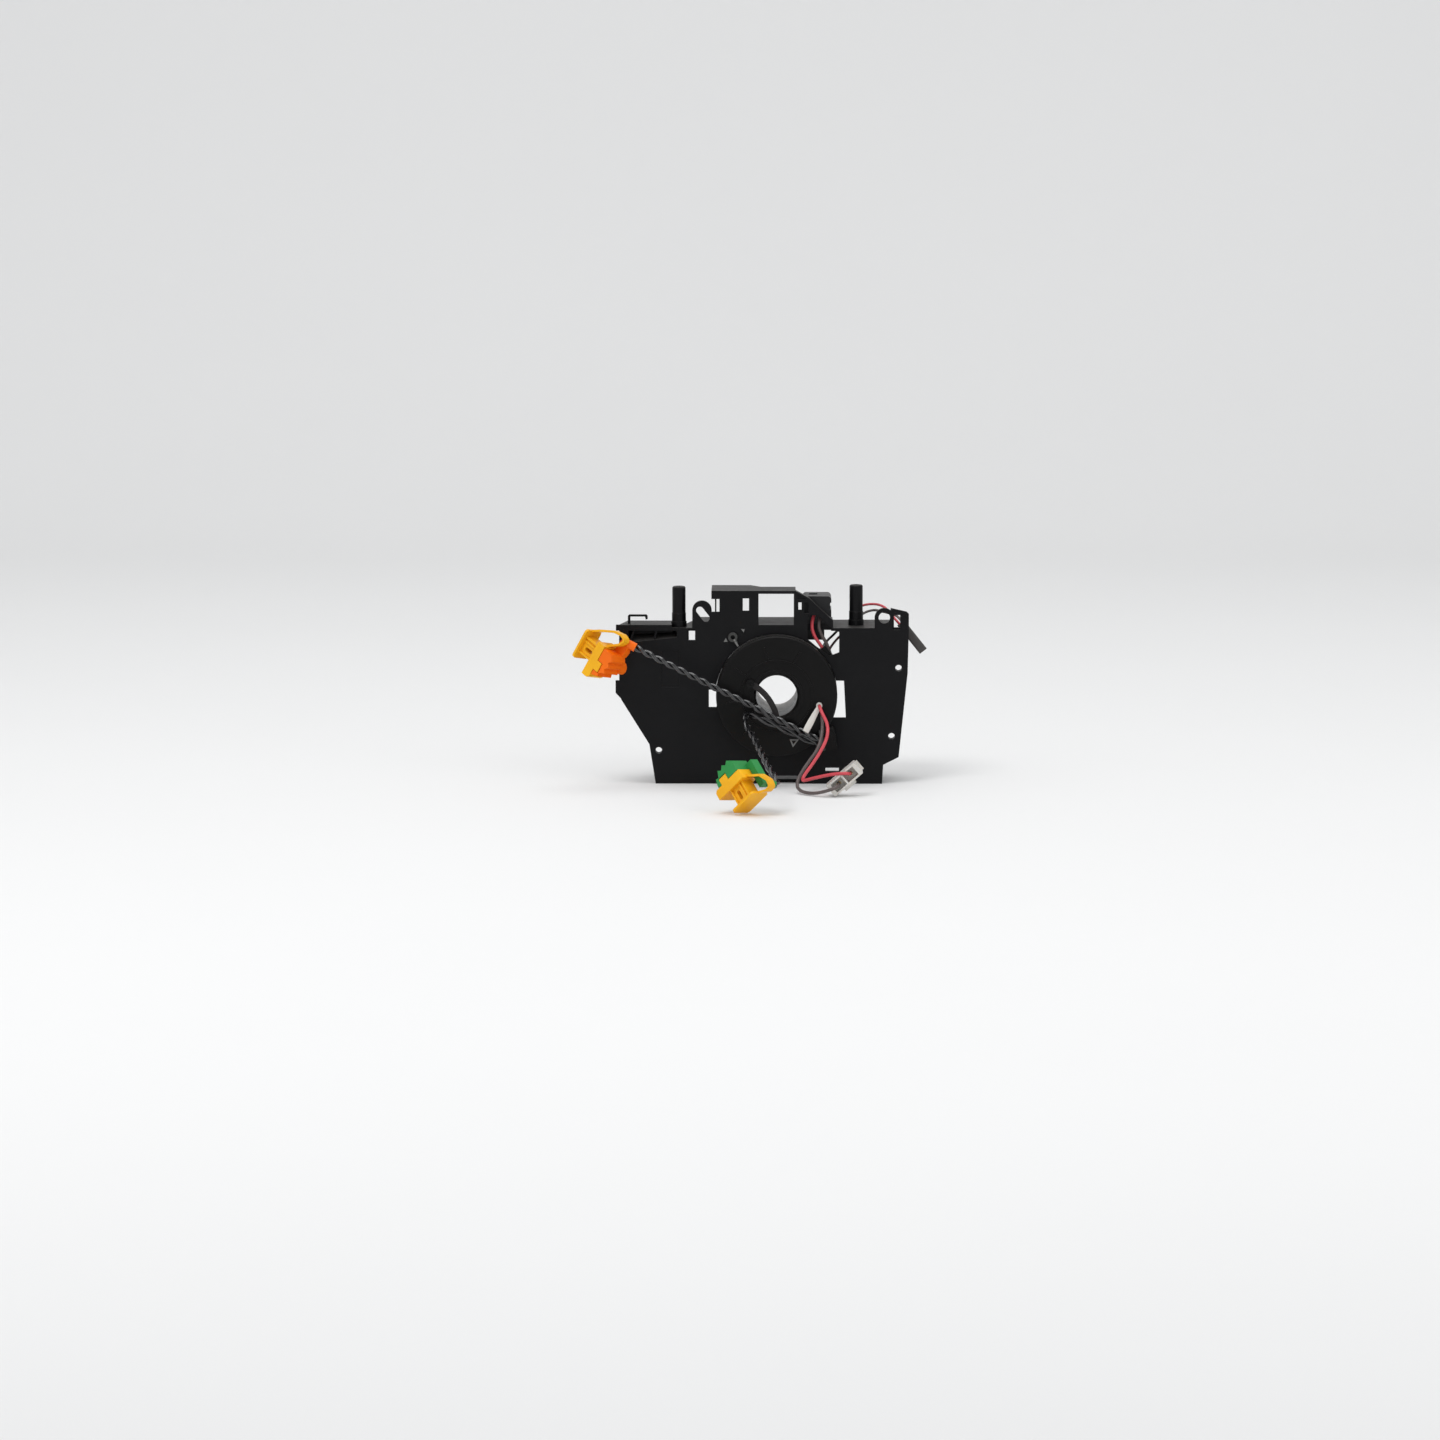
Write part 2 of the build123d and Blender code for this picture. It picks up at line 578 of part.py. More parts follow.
# ================================================================== rotor
with BuildPart() as rotor:
    # front disc
    with BuildSketch(depth_plane(rotor_front)):
        Circle(rotor_r)
    extrude(amount=-rotor_disc)
    chamfer(rotor.edges().filter_by(GeomType.CIRCLE).sort_by(Axis.Y)[0], rim_bevel)
    # hub and dust skirt
    with BuildSketch(depth_plane(rotor_front)):
        Circle(hub_r)
    extrude(amount=rotor_front - hub_back)
    with BuildSketch(depth_plane(rotor_front + rotor_disc)):
        Circle(drum_r - drum_wall - 0.6 - skirt_fit)
        Circle(drum_r - drum_wall - 0.6 - skirt_fit - skirt_wall, mode=Mode.SUBTRACT)
    extrude(amount=-skirt_depth)
    # raised rings on the face
    with BuildSketch(depth_plane(rotor_front - face_rise)):
        Circle(face_ring_r)
        Circle(face_ring_r - rib, mode=Mode.SUBTRACT)
        Circle(mouth_r + mouth_lip)
        with PolarLocations(face_rib_r, 5, start_angle=62, angular_range=210):
            Rectangle(face_rib_length, rib)
    extrude(amount=-face_rise - overlap)
    # arrow-head rib near the lead outlet
    with BuildSketch(depth_plane(rotor_front - face_rise)):
        polygon([(8.6, arrow_in - rotor_r), (15.6, arrow_in - rotor_r), (11.0, 0.5 * arrow_in - rotor_r)])
        offset(amount=-rib, mode=Mode.SUBTRACT)
    extrude(amount=-face_rise - overlap)
    # outlet housing for the leads
    with BuildSketch(depth_plane(rotor_front - outlet_rise)):
        with Locations(Location(lead_block, lead_block_turn)):
            RectangleRounded(*lead_block_size, lead_block_round)
    extrude(amount=-outlet_rise - overlap)
    # bore with its flared mouth
    with BuildSketch(depth_plane(rotor_front - 2)):
        Circle(bore_r)
    extrude(amount=rotor_front - hub_back - 4, mode=Mode.SUBTRACT)
    with BuildSketch(Plane.XY):
        polygon([(0, rotor_front - 1.1), (mouth_r + 0.35, rotor_front - 1.1),
                 (mouth_r, rotor_front), (bore_r, rotor_front + mouth_depth),
                 (0, rotor_front + mouth_depth)])
    revolve(axis=Axis.Y, mode=Mode.SUBTRACT)
    # seat for the screw of the locking strap
    with BuildSketch(depth_plane(rotor_front - face_rise)):
        with Locations(strap_screw):
            Circle(lock_screw_r)
    extrude(amount=-face_rise - rotor_disc + 0.4, mode=Mode.SUBTRACT)

finish(rotor, "rotor")

# =========================================================== cancelling cam
with BuildPart() as cancel_ring:
    with BuildSketch(depth_plane(drum_back + cover_wall + cancel_gap)):
        Circle(cancel_r)
        Circle(hub_r, mode=Mode.SUBTRACT)
    extrude(amount=-(hub_back - drum_back - cover_wall - cancel_gap))
    with BuildSketch(depth_plane(hub_back)):
        Circle(cancel_r)
        Circle(bore_r, mode=Mode.SUBTRACT)
    extrude(amount=hub_back - cancel_back)
    # castellated end that takes the wheel boss's drive
    with BuildSketch(depth_plane(cancel_back)):
        Circle(cancel_r)
        Circle(bore_r, mode=Mode.SUBTRACT)
        for turn in (-90.0, 55.0, 125.0):
            with Locations(Location(polar(cancel_r, turn), turn)):
                Rectangle(4 * cancel_wall, 13.4, mode=Mode.SUBTRACT)
    extrude(amount=cancel_back - lug_back)
    # two cams that push the indicator stalk back
    with BuildSketch(depth_plane(hub_back + 4)):
        for turn in (0.0, 180.0):
            with Locations(Location(polar(cancel_r, turn), turn)):
                SlotCenterToCenter(10.0, 2 * cam_height, rotation=90)
        Circle(cancel_r - 1, mode=Mode.SUBTRACT)
    extrude(amount=-12.0)

finish(cancel_ring, "cancel_ring")

# ========================================================== inside the drum
with BuildPart() as slide_film:
    with BuildSketch(depth_plane(drum_back - film_wall)):
        Circle(drum_r - drum_wall - 1.7 - film_fit)
        Circle(hub_r + film_fit, mode=Mode.SUBTRACT)
    extrude(amount=-film_wall)
finish(slide_film, "slide_film")

with BuildPart() as ribbon_cable:
    with BuildSketch(depth_plane(rotor_front + rotor_disc + 1.0)):
        Circle(ribbon_outer_r)
        Circle(hub_r + film_fit, mode=Mode.SUBTRACT)
    extrude(amount=-(drum_back - film_wall - 0.4 - (rotor_front + rotor_disc + 1.0)))
finish(ribbon_cable, "ribbon_cable")

with BuildPart() as drum_screws:
    with BuildSketch(depth_plane(drum_back)):
        for turn in ear_turns:
            with Locations(ear_place(turn)):
                Circle(drum_screw_head_r)
    extrude(amount=-drum_screw_head)
    with BuildSketch(depth_plane(drum_back)):
        for turn in ear_turns:
            with Locations(ear_place(turn)):
                Circle(drum_screw_r)
    extrude(amount=ear_wall + drum_screw_bite - 0.3)
    with BuildSketch(depth_plane(drum_back + drum_screw_head)):
        for turn in ear_turns:
            with Locations(ear_place(turn)):
                RegularPolygon(1.5, 6)
    extrude(amount=1.2, mode=Mode.SUBTRACT)
finish(drum_screws, "drum_screws")

# ===================================================== strap, clip, grommet
with BuildPart() as lock_strap:
    with BuildSketch(depth_plane(rotor_front - face_rise - strap_wall)):
        with BuildLine():
            ThreePointArc(strap_screw, (-5.0, -2.3), strap_foot)
        trace(line_width=strap_width)
        with Locations(strap_screw, strap_foot):
            Circle(strap_width / 2 + 0.8)
        with Locations(strap_screw):
            Circle(lock_screw_r, mode=Mode.SUBTRACT)
    extrude(amount=-strap_wall)
finish(lock_strap, "lock_strap")

with BuildPart() as lock_screw:
    with BuildSketch(depth_plane(rotor_front - face_rise - strap_wall)):
        with Locations(strap_screw):
            Circle(lock_screw_r + 1.2)
    extrude(amount=1.6)
    with BuildSketch(depth_plane(rotor_front - face_rise - strap_wall)):
        with Locations(strap_screw):
            Circle(lock_screw_r - 0.05)
    extrude(amount=-strap_wall - 1.0 - rotor_disc + 0.6)
    with BuildSketch(depth_plane(rotor_front - face_rise - strap_wall - 1.6)):
        with Locations(strap_screw):
            Rectangle(3.4, 0.7)
            Rectangle(0.7, 3.4)
    extrude(amount=-0.9, mode=Mode.SUBTRACT)
finish(lock_screw, "lock_screw")

clip_run = Vector(*clip_foot) - Vector(*clip_eye)
clip_face = Plane(origin=clip_eye, x_dir=clip_run, z_dir=clip_run.cross(Vector(0, 1, 0)).cross(clip_run))
with BuildPart() as wire_clip:
    with BuildSketch(clip_face):
        with Locations((clip_run.length / 2, 0)):
            Rectangle(clip_run.length, clip_width)
        with Locations((clip_run.length * 0.65, 0)):
            Rectangle(clip_run.length * 0.4, rib, mode=Mode.SUBTRACT)
    extrude(amount=clip_wall)
    # eyelet that stands on the rotor's face, with the hole for the red wire
    with BuildSketch(depth_plane(rotor_front)):
        with Locations((clip_eye[0], clip_eye[2])):
            Circle(wire_d / 2 + clip_boss)
    extrude(amount=rotor_front - clip_eye[1])
    with BuildSketch(depth_plane(rotor_front + 1)):
        with Locations((clip_eye[0], clip_eye[2])):
            Circle(wire_d / 2 + 0.2)
    extrude(amount=rotor_front - clip_eye[1] + 2 * clip_width, mode=Mode.SUBTRACT)
finish(wire_clip, "wire_clip")

with BuildPart() as lead_grommet:
    with BuildSketch(depth_plane(rotor_front - outlet_rise + 0.8)):
        with Locations(Location(grommet_place, lead_block_turn)):
            Rectangle(grommet_wall, lead_block_size[1] - 1.6)
    extrude(amount=-outlet_rise + 1.2)
finish(lead_grommet, "lead_grommet")

# ========================================================== feed connector
box_x = (17.5, 37.2)
box_z = (raised_z, 66.5)
box_mid = ((box_x[0] + box_x[1]) / 2, (box_z[0] + box_z[1]) / 2)
with BuildPart() as feed_connector:
    with BuildSketch(depth_plane(box_front)):
        with Locations(box_mid):
            Rectangle(box_x[1] - box_x[0], box_z[1] - box_z[0])
    extrude(amount=box_front - box_back)
    fillet(feed_connector.edges().filter_by(Axis.Y).group_by(Axis.Z)[-1], 2.6)
    with BuildSketch(depth_plane(box_back)):
        with Locations(box_mid):
            RectangleRounded(box_x[1] - box_x[0] - 2 * box_wall,
                             box_z[1] - box_z[0] - 2 * box_wall, 1.2)
    extrude(amount=box_back - box_front - box_floor, mode=Mode.SUBTRACT)
    # polarising groove on top and the step in the right-hand side
    with Locations((24.9, 26.0, box_z[1])):
        Box(5.7, 12.0, 1.4, mode=Mode.SUBTRACT)
    with Locations((box_x[1], (box_front + box_back) / 2, 59.5)):
        Box(1.6, box_back - box_front, 5.0, mode=Mode.SUBTRACT)
    # tongue that reaches down behind the drum's outlet
    with BuildSketch(depth_plane(tongue_front)):
        with Locations((tongue_mid, (tongue_foot_z + box_z[0] + 1) / 2)):
            Rectangle(connector_tongue_width, box_z[0] + 1 - tongue_foot_z)
    extrude(amount=-connector_tongue)
    with BuildSketch(depth_plane(box_front + box_floor)):
        for place in pin_places(box_mid):
            with Locations(place):
                Circle(feed_pin_r + 0.03)
    extrude(amount=box_floor - 1.2, mode=Mode.SUBTRACT)
finish(feed_connector, "feed_connector")

with BuildPart() as feed_pins:
    with BuildSketch(depth_plane(box_front + 1.2)):
        for place in pin_places(box_mid):
            with Locations(place):
                Circle(feed_pin_r)
    extrude(amount=-(box_floor - 1.2 + feed_pin_reach))
finish(feed_pins, "feed_pins")

# ================================================================== plugs
def make_plug(place, prefix, far, arm, arm_out, tether, lead_end, lead_way):
    """Airbag plug: housing with its nose, contacts and wire arm, and a lock that slides out of it.

    The place is a plane on the lock's grip: local x runs along the grip, local
    z from the grip towards the housing. far is the side of the nose and arm.
    """
    side = Plane(origin=place.origin, x_dir=place.x_dir, z_dir=place.x_dir.cross(place.z_dir))
    nose_plane = side.offset(far * housing_width / 2)
    with BuildPart() as body:
        with BuildSketch(side):
            polygon([(housing_low, housing_foot)] + housing_teeth + [(housing_high, housing_foot)])
        extrude(amount=housing_width / 2, both=True)
        # arm that the wires leave by, and its collar
        with BuildSketch(side.offset(far * arm_in)):
            polygon(arm)
        extrude(amount=far * (arm_out - arm_in))
        with Locations(Plane(origin=lead_end, z_dir=lead_way)):
            Cylinder(lead_d / 2 + collar_wall, collar_reach, align=standing)
        # mating nose with its two contact holes
        with BuildSketch(nose_plane):
            with Locations(nose_place):
                Circle(nose_r)
        extrude(amount=far * nose_length)
        # pockets for the lock's two tongues
        for facing in (-1, 1):
            with BuildSketch(side.offset(facing * (housing_width / 2 - cheek_wall))):
                with Locations(((cheek_low + cheek_high) / 2, housing_foot + cheek_reach / 2)):
                    Rectangle(cheek_high - cheek_low + 2 * lock_fit, cheek_reach + 2 * lock_fit)
            extrude(amount=facing * (cheek_wall + pocket_over), mode=Mode.SUBTRACT)
        with BuildSketch(nose_plane.offset(far * nose_length)):
            with Locations(nose_place):
                with GridLocations(contact_pitch, 0, 2, 1):
                    Circle(contact_r + contact_fit)
        extrude(amount=-far * contact_depth, mode=Mode.SUBTRACT)
    finish(body, f"{prefix}_plug_body")

    with BuildPart() as lock:
        with BuildSketch(place):
            RectangleRounded(grip_length, grip_width, grip_round)
        extrude(amount=grip_wall)
        # ribbed neck with a slot right through it
        with BuildSketch(place):
            Rectangle(neck_length, neck_width)
            for at in neck_ribs:
                with Locations((at, 0)):
                    Rectangle(rib, neck_width + 2 * neck_rib_rise)
        extrude(amount=flange_foot + flange_bevel)
        with BuildSketch(side):
            with Locations((neck_slot_at, (grip_wall + flange_foot) / 2)):
                SlotOverall(flange_foot - grip_wall - 2 * neck_slot_width, neck_slot_width, rotation=90)
        extrude(amount=neck_width, both=True, mode=Mode.SUBTRACT)
        # flange and the two tongues that reach into the housing
        with BuildSketch(side):
            polygon([(flange_low, flange_foot), (flange_low, flange_top - flange_bevel),
                     (flange_low + flange_bevel, flange_top), (flange_high, flange_top),
                     (flange_high, flange_foot)])
        extrude(amount=flange_width / 2, both=True)
        for facing in (-1, 1):
            with BuildSketch(side.offset(facing * (flange_width / 2 - cheek_wall + lock_fit / 2))):
                with Locations(((cheek_low + cheek_high) / 2, flange_top + cheek_reach / 2 - lock_gap / 2)):
                    Rectangle(cheek_high - cheek_low, cheek_reach + lock_gap)
            extrude(amount=facing * (cheek_wall - lock_fit / 2))
        # tether from the grip round to the flange
        with BuildSketch(side):
            with BuildLine():
                FilletPolyline(*tether, radius=tether_round)
            trace(line_width=tether_wall)
        extrude(amount=tether_width / 2, both=True)
    finish(lock, f"{prefix}_plug_lock")

    with BuildPart() as contacts:
        with BuildSketch(nose_plane.offset(far * (nose_length - contact_depth))):
            with Locations(nose_place):
                with GridLocations(contact_pitch, 0, 2, 1):
                    Circle(contact_r)
                    Circle(contact_r - contact_wall, mode=Mode.SUBTRACT)
        extrude(amount=far * (contact_depth - contact_gap))
    finish(contacts, f"{prefix}_plug_contacts")


# ================================================================== cords
def bend_radii(points):
    """Radius at each inner point: 0.45 of its shorter run over tan of half the turn."""
    radii = []
    for before, here, after in zip(points, points[1:], points[2:]):
        into, out = Vector(*here) - Vector(*before), Vector(*after) - Vector(*here)
        turn = radians(into.get_angle(out))
        radii.append(0.45 * min(into.length, out.length) / tan(turn / 2))
    return radii


def make_cord(name, points, diameter):
    """Round cord along straight runs joined by tangent arcs."""
    radii = bend_radii(points)
    with BuildPart() as cord:
        with BuildLine() as route:
            FilletPolyline(*points, radius=radii)
        with BuildSketch(Plane(origin=points[0], z_dir=Vector(*points[1]) - Vector(*points[0]))):
            Circle(diameter / 2)
        sweep()
    ideal = pi * diameter ** 2 / 4 * route.wire().length
    print(f"{name}: length {route.wire().length:.1f}, volume over ideal {cord.part.volume / ideal:.4f}, "
          f"radii {[round(r, 1) for r in radii]}")
    finish(cord, name)


upper_lead_route = [
    (31.0, -18.4, -29.6), (7.1, -19.5, -18.1), (-18.3, -21.5, -4.3), (-43.7, -24.5, 8.4),
    (-64.0, -27.0, 19.1), (-82.6, -28.4, 28.7), (-100.9, -26.5, 37.7)]
lower_lead_route = [
    (31.0, -13.7, -33.2), (19.0, -14.2, -28.6), (6.8, -14.9, -23.0), (-6.1, -15.2, -16.9),
    (-13.6, -16.3, -13.6), (-18.2, -19.8, -11.2), (-21.2, -26.5, -11.4), (-21.3, -34.0, -14.4),
    (-19.2, -47.0, -18.5), (-15.9, -60.0, -21.1), (-13.3, -76.0, -24.9), (-9.7, -101.0, -28.5),
    (-5.6, -126.0, -34.2), (-2.2, -142.0, -37.4), (0.6, -152.0, -41.2), (-0.4, -160.0, -42.9),
    (-6.4, -163.7, -39.2)]
horn_red_route = [
    (28.9, -10.0, -5.5), (28.9, -16.8, -5.7), (30.9, -21.9, -10.2), (34.8, -24.6, -17.6),
    (34.4, -30.2, -26.0), (29.4, -37.6, -35.0), (23.4, -44.6, -43.2), (19.0, -48.8, -48.6),
    (17.2, -52.6, -51.8), (18.6, -57.2, -51.8), (25.2, -61.8, -49.4), (37.0, -70.4, -45.8),
    (44.5, -75.0, -44.6), (49.3, -72.9, -45.1), (49.5, -68.3, -45.5)]
horn_black_route = [
    (30.4, -10.0, -12.6), (30.6, -16.6, -13.4), (31.4, -23.4, -21.0), (28.6, -30.6, -33.0),
    (20.6, -38.6, -42.6), (14.8, -45.6, -51.0), (13.4, -53.0, -56.6), (17.2, -60.4, -59.2),
    (25.2, -68.6, -59.2), (33.6, -75.4, -56.6), (39.6, -77.6, -54.0), (42.0, -73.2, -52.8),
    (41.9, -68.3, -52.3)]
short_red_route = [
    (34.1, 6.2, 26.5), (30.2, 5.6, 33.2), (25.4, 5.2, 39.8), (23.6, 5.2, 46.6),
    (24.8, 6.2, 53.0), (26.0, 10.6, 55.6)]
short_black_route = [
    (36.8, 8.4, 26.0), (34.8, 7.9, 33.4), (30.6, 6.9, 40.0), (28.6, 5.8, 45.8),
    (29.0, 6.2, 50.9), (30.0, 10.6, 53.0)]
feed_red_route = [
    (34.8, 11.0, 27.0), (35.2, 18.6, 27.6), (37.4, 31.4, 30.2), (41.8, 44.4, 34.2),
    (47.0, 54.4, 37.8), (51.2, 61.0, 43.0), (54.4, 61.2, 50.6), (57.8, 54.4, 55.6),
    (62.6, 46.2, 57.6), (69.0, 37.6, 58.5), (73.9, 28.2, 57.4), (76.8, 19.6, 54.8),
    (79.6, 14.8, 51.8), (83.0, 12.3, 48.2), (86.3, 12.3, 44.05)]
feed_black_route = [
    (31.6, 11.0, 31.6), (32.0, 19.0, 32.0), (34.6, 31.6, 34.0), (39.4, 43.6, 37.0),
    (43.8, 55.4, 40.7), (47.8, 64.8, 42.6), (53.6, 67.0, 45.2), (58.8, 61.4, 49.2),
    (62.8, 50.4, 52.4), (67.6, 39.4, 54.4), (72.8, 30.0, 54.0), (77.8, 22.4, 53.6),
    (82.2, 16.0, 52.6), (85.9, 12.3, 48.6), (89.4, 12.3, 44.2)]

upper_end, upper_back = Vector(*upper_lead_route[-1]), Vector(*upper_lead_route[-2])
lower_end, lower_back = Vector(*lower_lead_route[-1]), Vector(*lower_lead_route[-2])
make_plug(upper_plug_place, "upper", 1, upper_arm, upper_arm_out, upper_tether, upper_end,
          upper_back - upper_end)
make_plug(lower_plug_place, "lower", -1, lower_arm, lower_arm_out, lower_tether, lower_end,
          lower_back - lower_end)

make_cord("upper_lead", upper_lead_route, lead_d)
make_cord("lower_lead", lower_lead_route, lead_d)
make_cord("horn_wire_red", horn_red_route, wire_d)
make_cord("horn_wire_black", horn_black_route, wire_d)
make_cord("short_wire_red", short_red_route, wire_d)
make_cord("short_wire_black", short_black_route, wire_d)
make_cord("feed_wire_red", feed_red_route, feed_wire_d)
make_cord("feed_wire_black", feed_black_route, feed_wire_d)

# ========================================================= horn connector
with BuildPart() as horn_connector:
    with BuildSketch(horn_place):
        RectangleRounded(horn_length, horn_width, horn_round)
    extrude(amount=horn_depth)
    with BuildSketch(horn_place.offset(horn_depth)):
        with GridLocations(horn_pitch, 0, 2, 1):
            Rectangle(horn_pitch - horn_wall, horn_width - 2 * horn_wall)
    extrude(amount=-horn_cavity, mode=Mode.SUBTRACT)
    # mating side, latch arm and its end stop
    with BuildSketch(horn_place):
        with GridLocations(horn_pitch, 0, 2, 1):
            Rectangle(3.0, 2.2)
    extrude(amount=horn_depth - horn_cavity + 0.1, mode=Mode.SUBTRACT)
    with BuildSketch(horn_place.offset(2.0)):
        with Locations((0, -(horn_width + 2.0) / 2)):
            Rectangle(9.0, 2.2)
    extrude(amount=horn_depth - 4.0)
    with BuildSketch(horn_place.offset(2.0)):
        with Locations((horn_length / 2 + 0.6, 0)):
            Rectangle(1.6, horn_width - 2.0)
    extrude(amount=3.0)
finish(horn_connector, "horn_connector")

with BuildPart() as horn_terminals:
    with BuildSketch(horn_place.offset(1.0)):
        with GridLocations(horn_pitch, 0, 2, 1):
            Rectangle(2.6, 1.8)
    extrude(amount=horn_depth - horn_cavity - 1.0 + 1.6)
finish(horn_terminals, "horn_terminals")

# =============================================================== feed sleeve
with BuildPart() as feed_sleeve:
    with BuildSketch(sleeve_place):
        RectangleRounded(sleeve_width, sleeve_height, sleeve_round)
        RectangleRounded(sleeve_width - 2 * sleeve_wall, sleeve_height - 2 * sleeve_wall, sleeve_wall,
                         mode=Mode.SUBTRACT)
    extrude(amount=sleeve_length)
finish(feed_sleeve, "feed_sleeve")
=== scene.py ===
"""Looks of a steering clock spring in its switch carrier, laid out as an add-on."""
import json
import math

import bmesh
import bpy
from bpy.props import FloatProperty, FloatVectorProperty, IntProperty, PointerProperty
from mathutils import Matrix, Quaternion, Vector

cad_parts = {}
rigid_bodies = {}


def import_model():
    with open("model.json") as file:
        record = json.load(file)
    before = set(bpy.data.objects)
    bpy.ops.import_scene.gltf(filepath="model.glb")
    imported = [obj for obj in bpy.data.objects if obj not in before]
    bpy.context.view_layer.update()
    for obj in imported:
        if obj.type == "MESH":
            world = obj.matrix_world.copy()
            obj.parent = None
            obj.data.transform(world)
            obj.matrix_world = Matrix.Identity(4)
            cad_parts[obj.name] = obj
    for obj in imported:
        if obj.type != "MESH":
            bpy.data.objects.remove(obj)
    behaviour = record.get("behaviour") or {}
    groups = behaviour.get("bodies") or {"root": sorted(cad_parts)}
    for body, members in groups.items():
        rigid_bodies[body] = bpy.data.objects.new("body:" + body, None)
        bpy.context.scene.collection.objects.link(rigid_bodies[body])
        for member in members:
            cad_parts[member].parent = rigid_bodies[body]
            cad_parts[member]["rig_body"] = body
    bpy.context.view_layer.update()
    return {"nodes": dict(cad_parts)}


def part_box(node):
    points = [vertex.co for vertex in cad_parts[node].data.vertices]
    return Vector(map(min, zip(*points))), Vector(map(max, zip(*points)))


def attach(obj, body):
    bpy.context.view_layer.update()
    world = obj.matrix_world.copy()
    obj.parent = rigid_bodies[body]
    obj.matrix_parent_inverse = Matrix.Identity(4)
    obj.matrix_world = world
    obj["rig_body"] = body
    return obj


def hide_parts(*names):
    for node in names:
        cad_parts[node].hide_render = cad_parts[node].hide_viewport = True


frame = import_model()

bl_info = {
    "name": "Steering Clock Spring",
    "version": (1, 0, 0),
    "blender": (4, 5, 0),
    "location": "View3D > Sidebar > Clock Spring",
    "description": "Finishes, leads and wires of a steering clock spring in its switch carrier",
    "category": "Object",
}

MM = 0.001
FLOOR_Z = -0.061

# Where each cord runs, as the control points of its smooth line.
UPPER_LEAD = [
    (0.031, -0.0184, -0.0296), (0.0071, -0.0195, -0.0181), (-0.0183, -0.0215, -0.0043),
    (-0.0437, -0.0245, 0.0084), (-0.064, -0.027, 0.0191), (-0.0826, -0.0284, 0.0287),
    (-0.1009, -0.0265, 0.0377)]
LOWER_LEAD = [
    (0.031, -0.0137, -0.0332), (0.019, -0.0142, -0.0286), (0.0068, -0.0149, -0.023),
    (-0.0061, -0.0152, -0.0169), (-0.0136, -0.0163, -0.0136), (-0.0182, -0.0198, -0.0112),
    (-0.0212, -0.0265, -0.0114), (-0.0213, -0.034, -0.0144), (-0.0192, -0.047, -0.0185),
    (-0.0159, -0.06, -0.0211), (-0.0133, -0.076, -0.0249), (-0.0097, -0.101, -0.0285),
    (-0.0056, -0.126, -0.0342), (-0.0022, -0.142, -0.0374), (0.0006, -0.152, -0.0412),
    (-0.0004, -0.16, -0.0429), (-0.0064, -0.1637, -0.0392)]
HORN_RED = [
    (0.0289, -0.01, -0.0055), (0.0289, -0.0168, -0.0057), (0.0309, -0.0219, -0.0102),
    (0.0348, -0.0246, -0.0176), (0.0344, -0.0302, -0.026), (0.0294, -0.0376, -0.035),
    (0.0234, -0.0446, -0.0432), (0.019, -0.0488, -0.0486), (0.0172, -0.0526, -0.0518),
    (0.0186, -0.0572, -0.0518), (0.0252, -0.0618, -0.0494), (0.037, -0.0704, -0.0458),
    (0.0445, -0.075, -0.0446), (0.0493, -0.0729, -0.0451), (0.0495, -0.0683, -0.0455)]
HORN_DARK = [
    (0.0304, -0.01, -0.0126), (0.0306, -0.0166, -0.0134), (0.0314, -0.0234, -0.021),
    (0.0286, -0.0306, -0.033), (0.0206, -0.0386, -0.0426), (0.0148, -0.0456, -0.051),
    (0.0134, -0.053, -0.0566), (0.0172, -0.0604, -0.0592), (0.0252, -0.0686, -0.0592),
    (0.0336, -0.0754, -0.0566), (0.0396, -0.0776, -0.054), (0.042, -0.0732, -0.0528),
    (0.0419, -0.0683, -0.0523)]
SHORT_RED = [
    (0.0341, 0.0062, 0.0265), (0.0302, 0.0056, 0.0332), (0.0254, 0.0052, 0.0398),
    (0.0236, 0.0052, 0.0466), (0.0248, 0.0062, 0.053), (0.026, 0.0106, 0.0556)]
SHORT_DARK = [
    (0.0368, 0.0084, 0.026), (0.0348, 0.0079, 0.0334), (0.0306, 0.0069, 0.04),
    (0.0286, 0.0058, 0.0458), (0.029, 0.0062, 0.0509), (0.03, 0.0106, 0.053)]
FEED_RED = [
    (0.0348, 0.011, 0.027), (0.0352, 0.0186, 0.0276), (0.0374, 0.0314, 0.0302),
    (0.0418, 0.0444, 0.0342), (0.047, 0.0544, 0.0378), (0.0512, 0.061, 0.043),
    (0.0544, 0.0612, 0.0506), (0.0578, 0.0544, 0.0556), (0.0626, 0.0462, 0.0576),
    (0.069, 0.0376, 0.0585), (0.0739, 0.0282, 0.0574), (0.0768, 0.0196, 0.0548),
    (0.0796, 0.0148, 0.0518), (0.083, 0.0123, 0.0482), (0.0863, 0.0123, 0.04405)]
FEED_DARK = [
    (0.0316, 0.011, 0.0316), (0.032, 0.019, 0.032), (0.0346, 0.0316, 0.034),
    (0.0394, 0.0436, 0.037), (0.0438, 0.0554, 0.0407), (0.0478, 0.0648, 0.0426),
    (0.0536, 0.067, 0.0452), (0.0588, 0.0614, 0.0492), (0.0628, 0.0504, 0.0524),
    (0.0676, 0.0394, 0.0544), (0.0728, 0.03, 0.054), (0.0778, 0.0224, 0.0536),
    (0.0822, 0.016, 0.0526), (0.0859, 0.0123, 0.0486), (0.0894, 0.0123, 0.0442)]


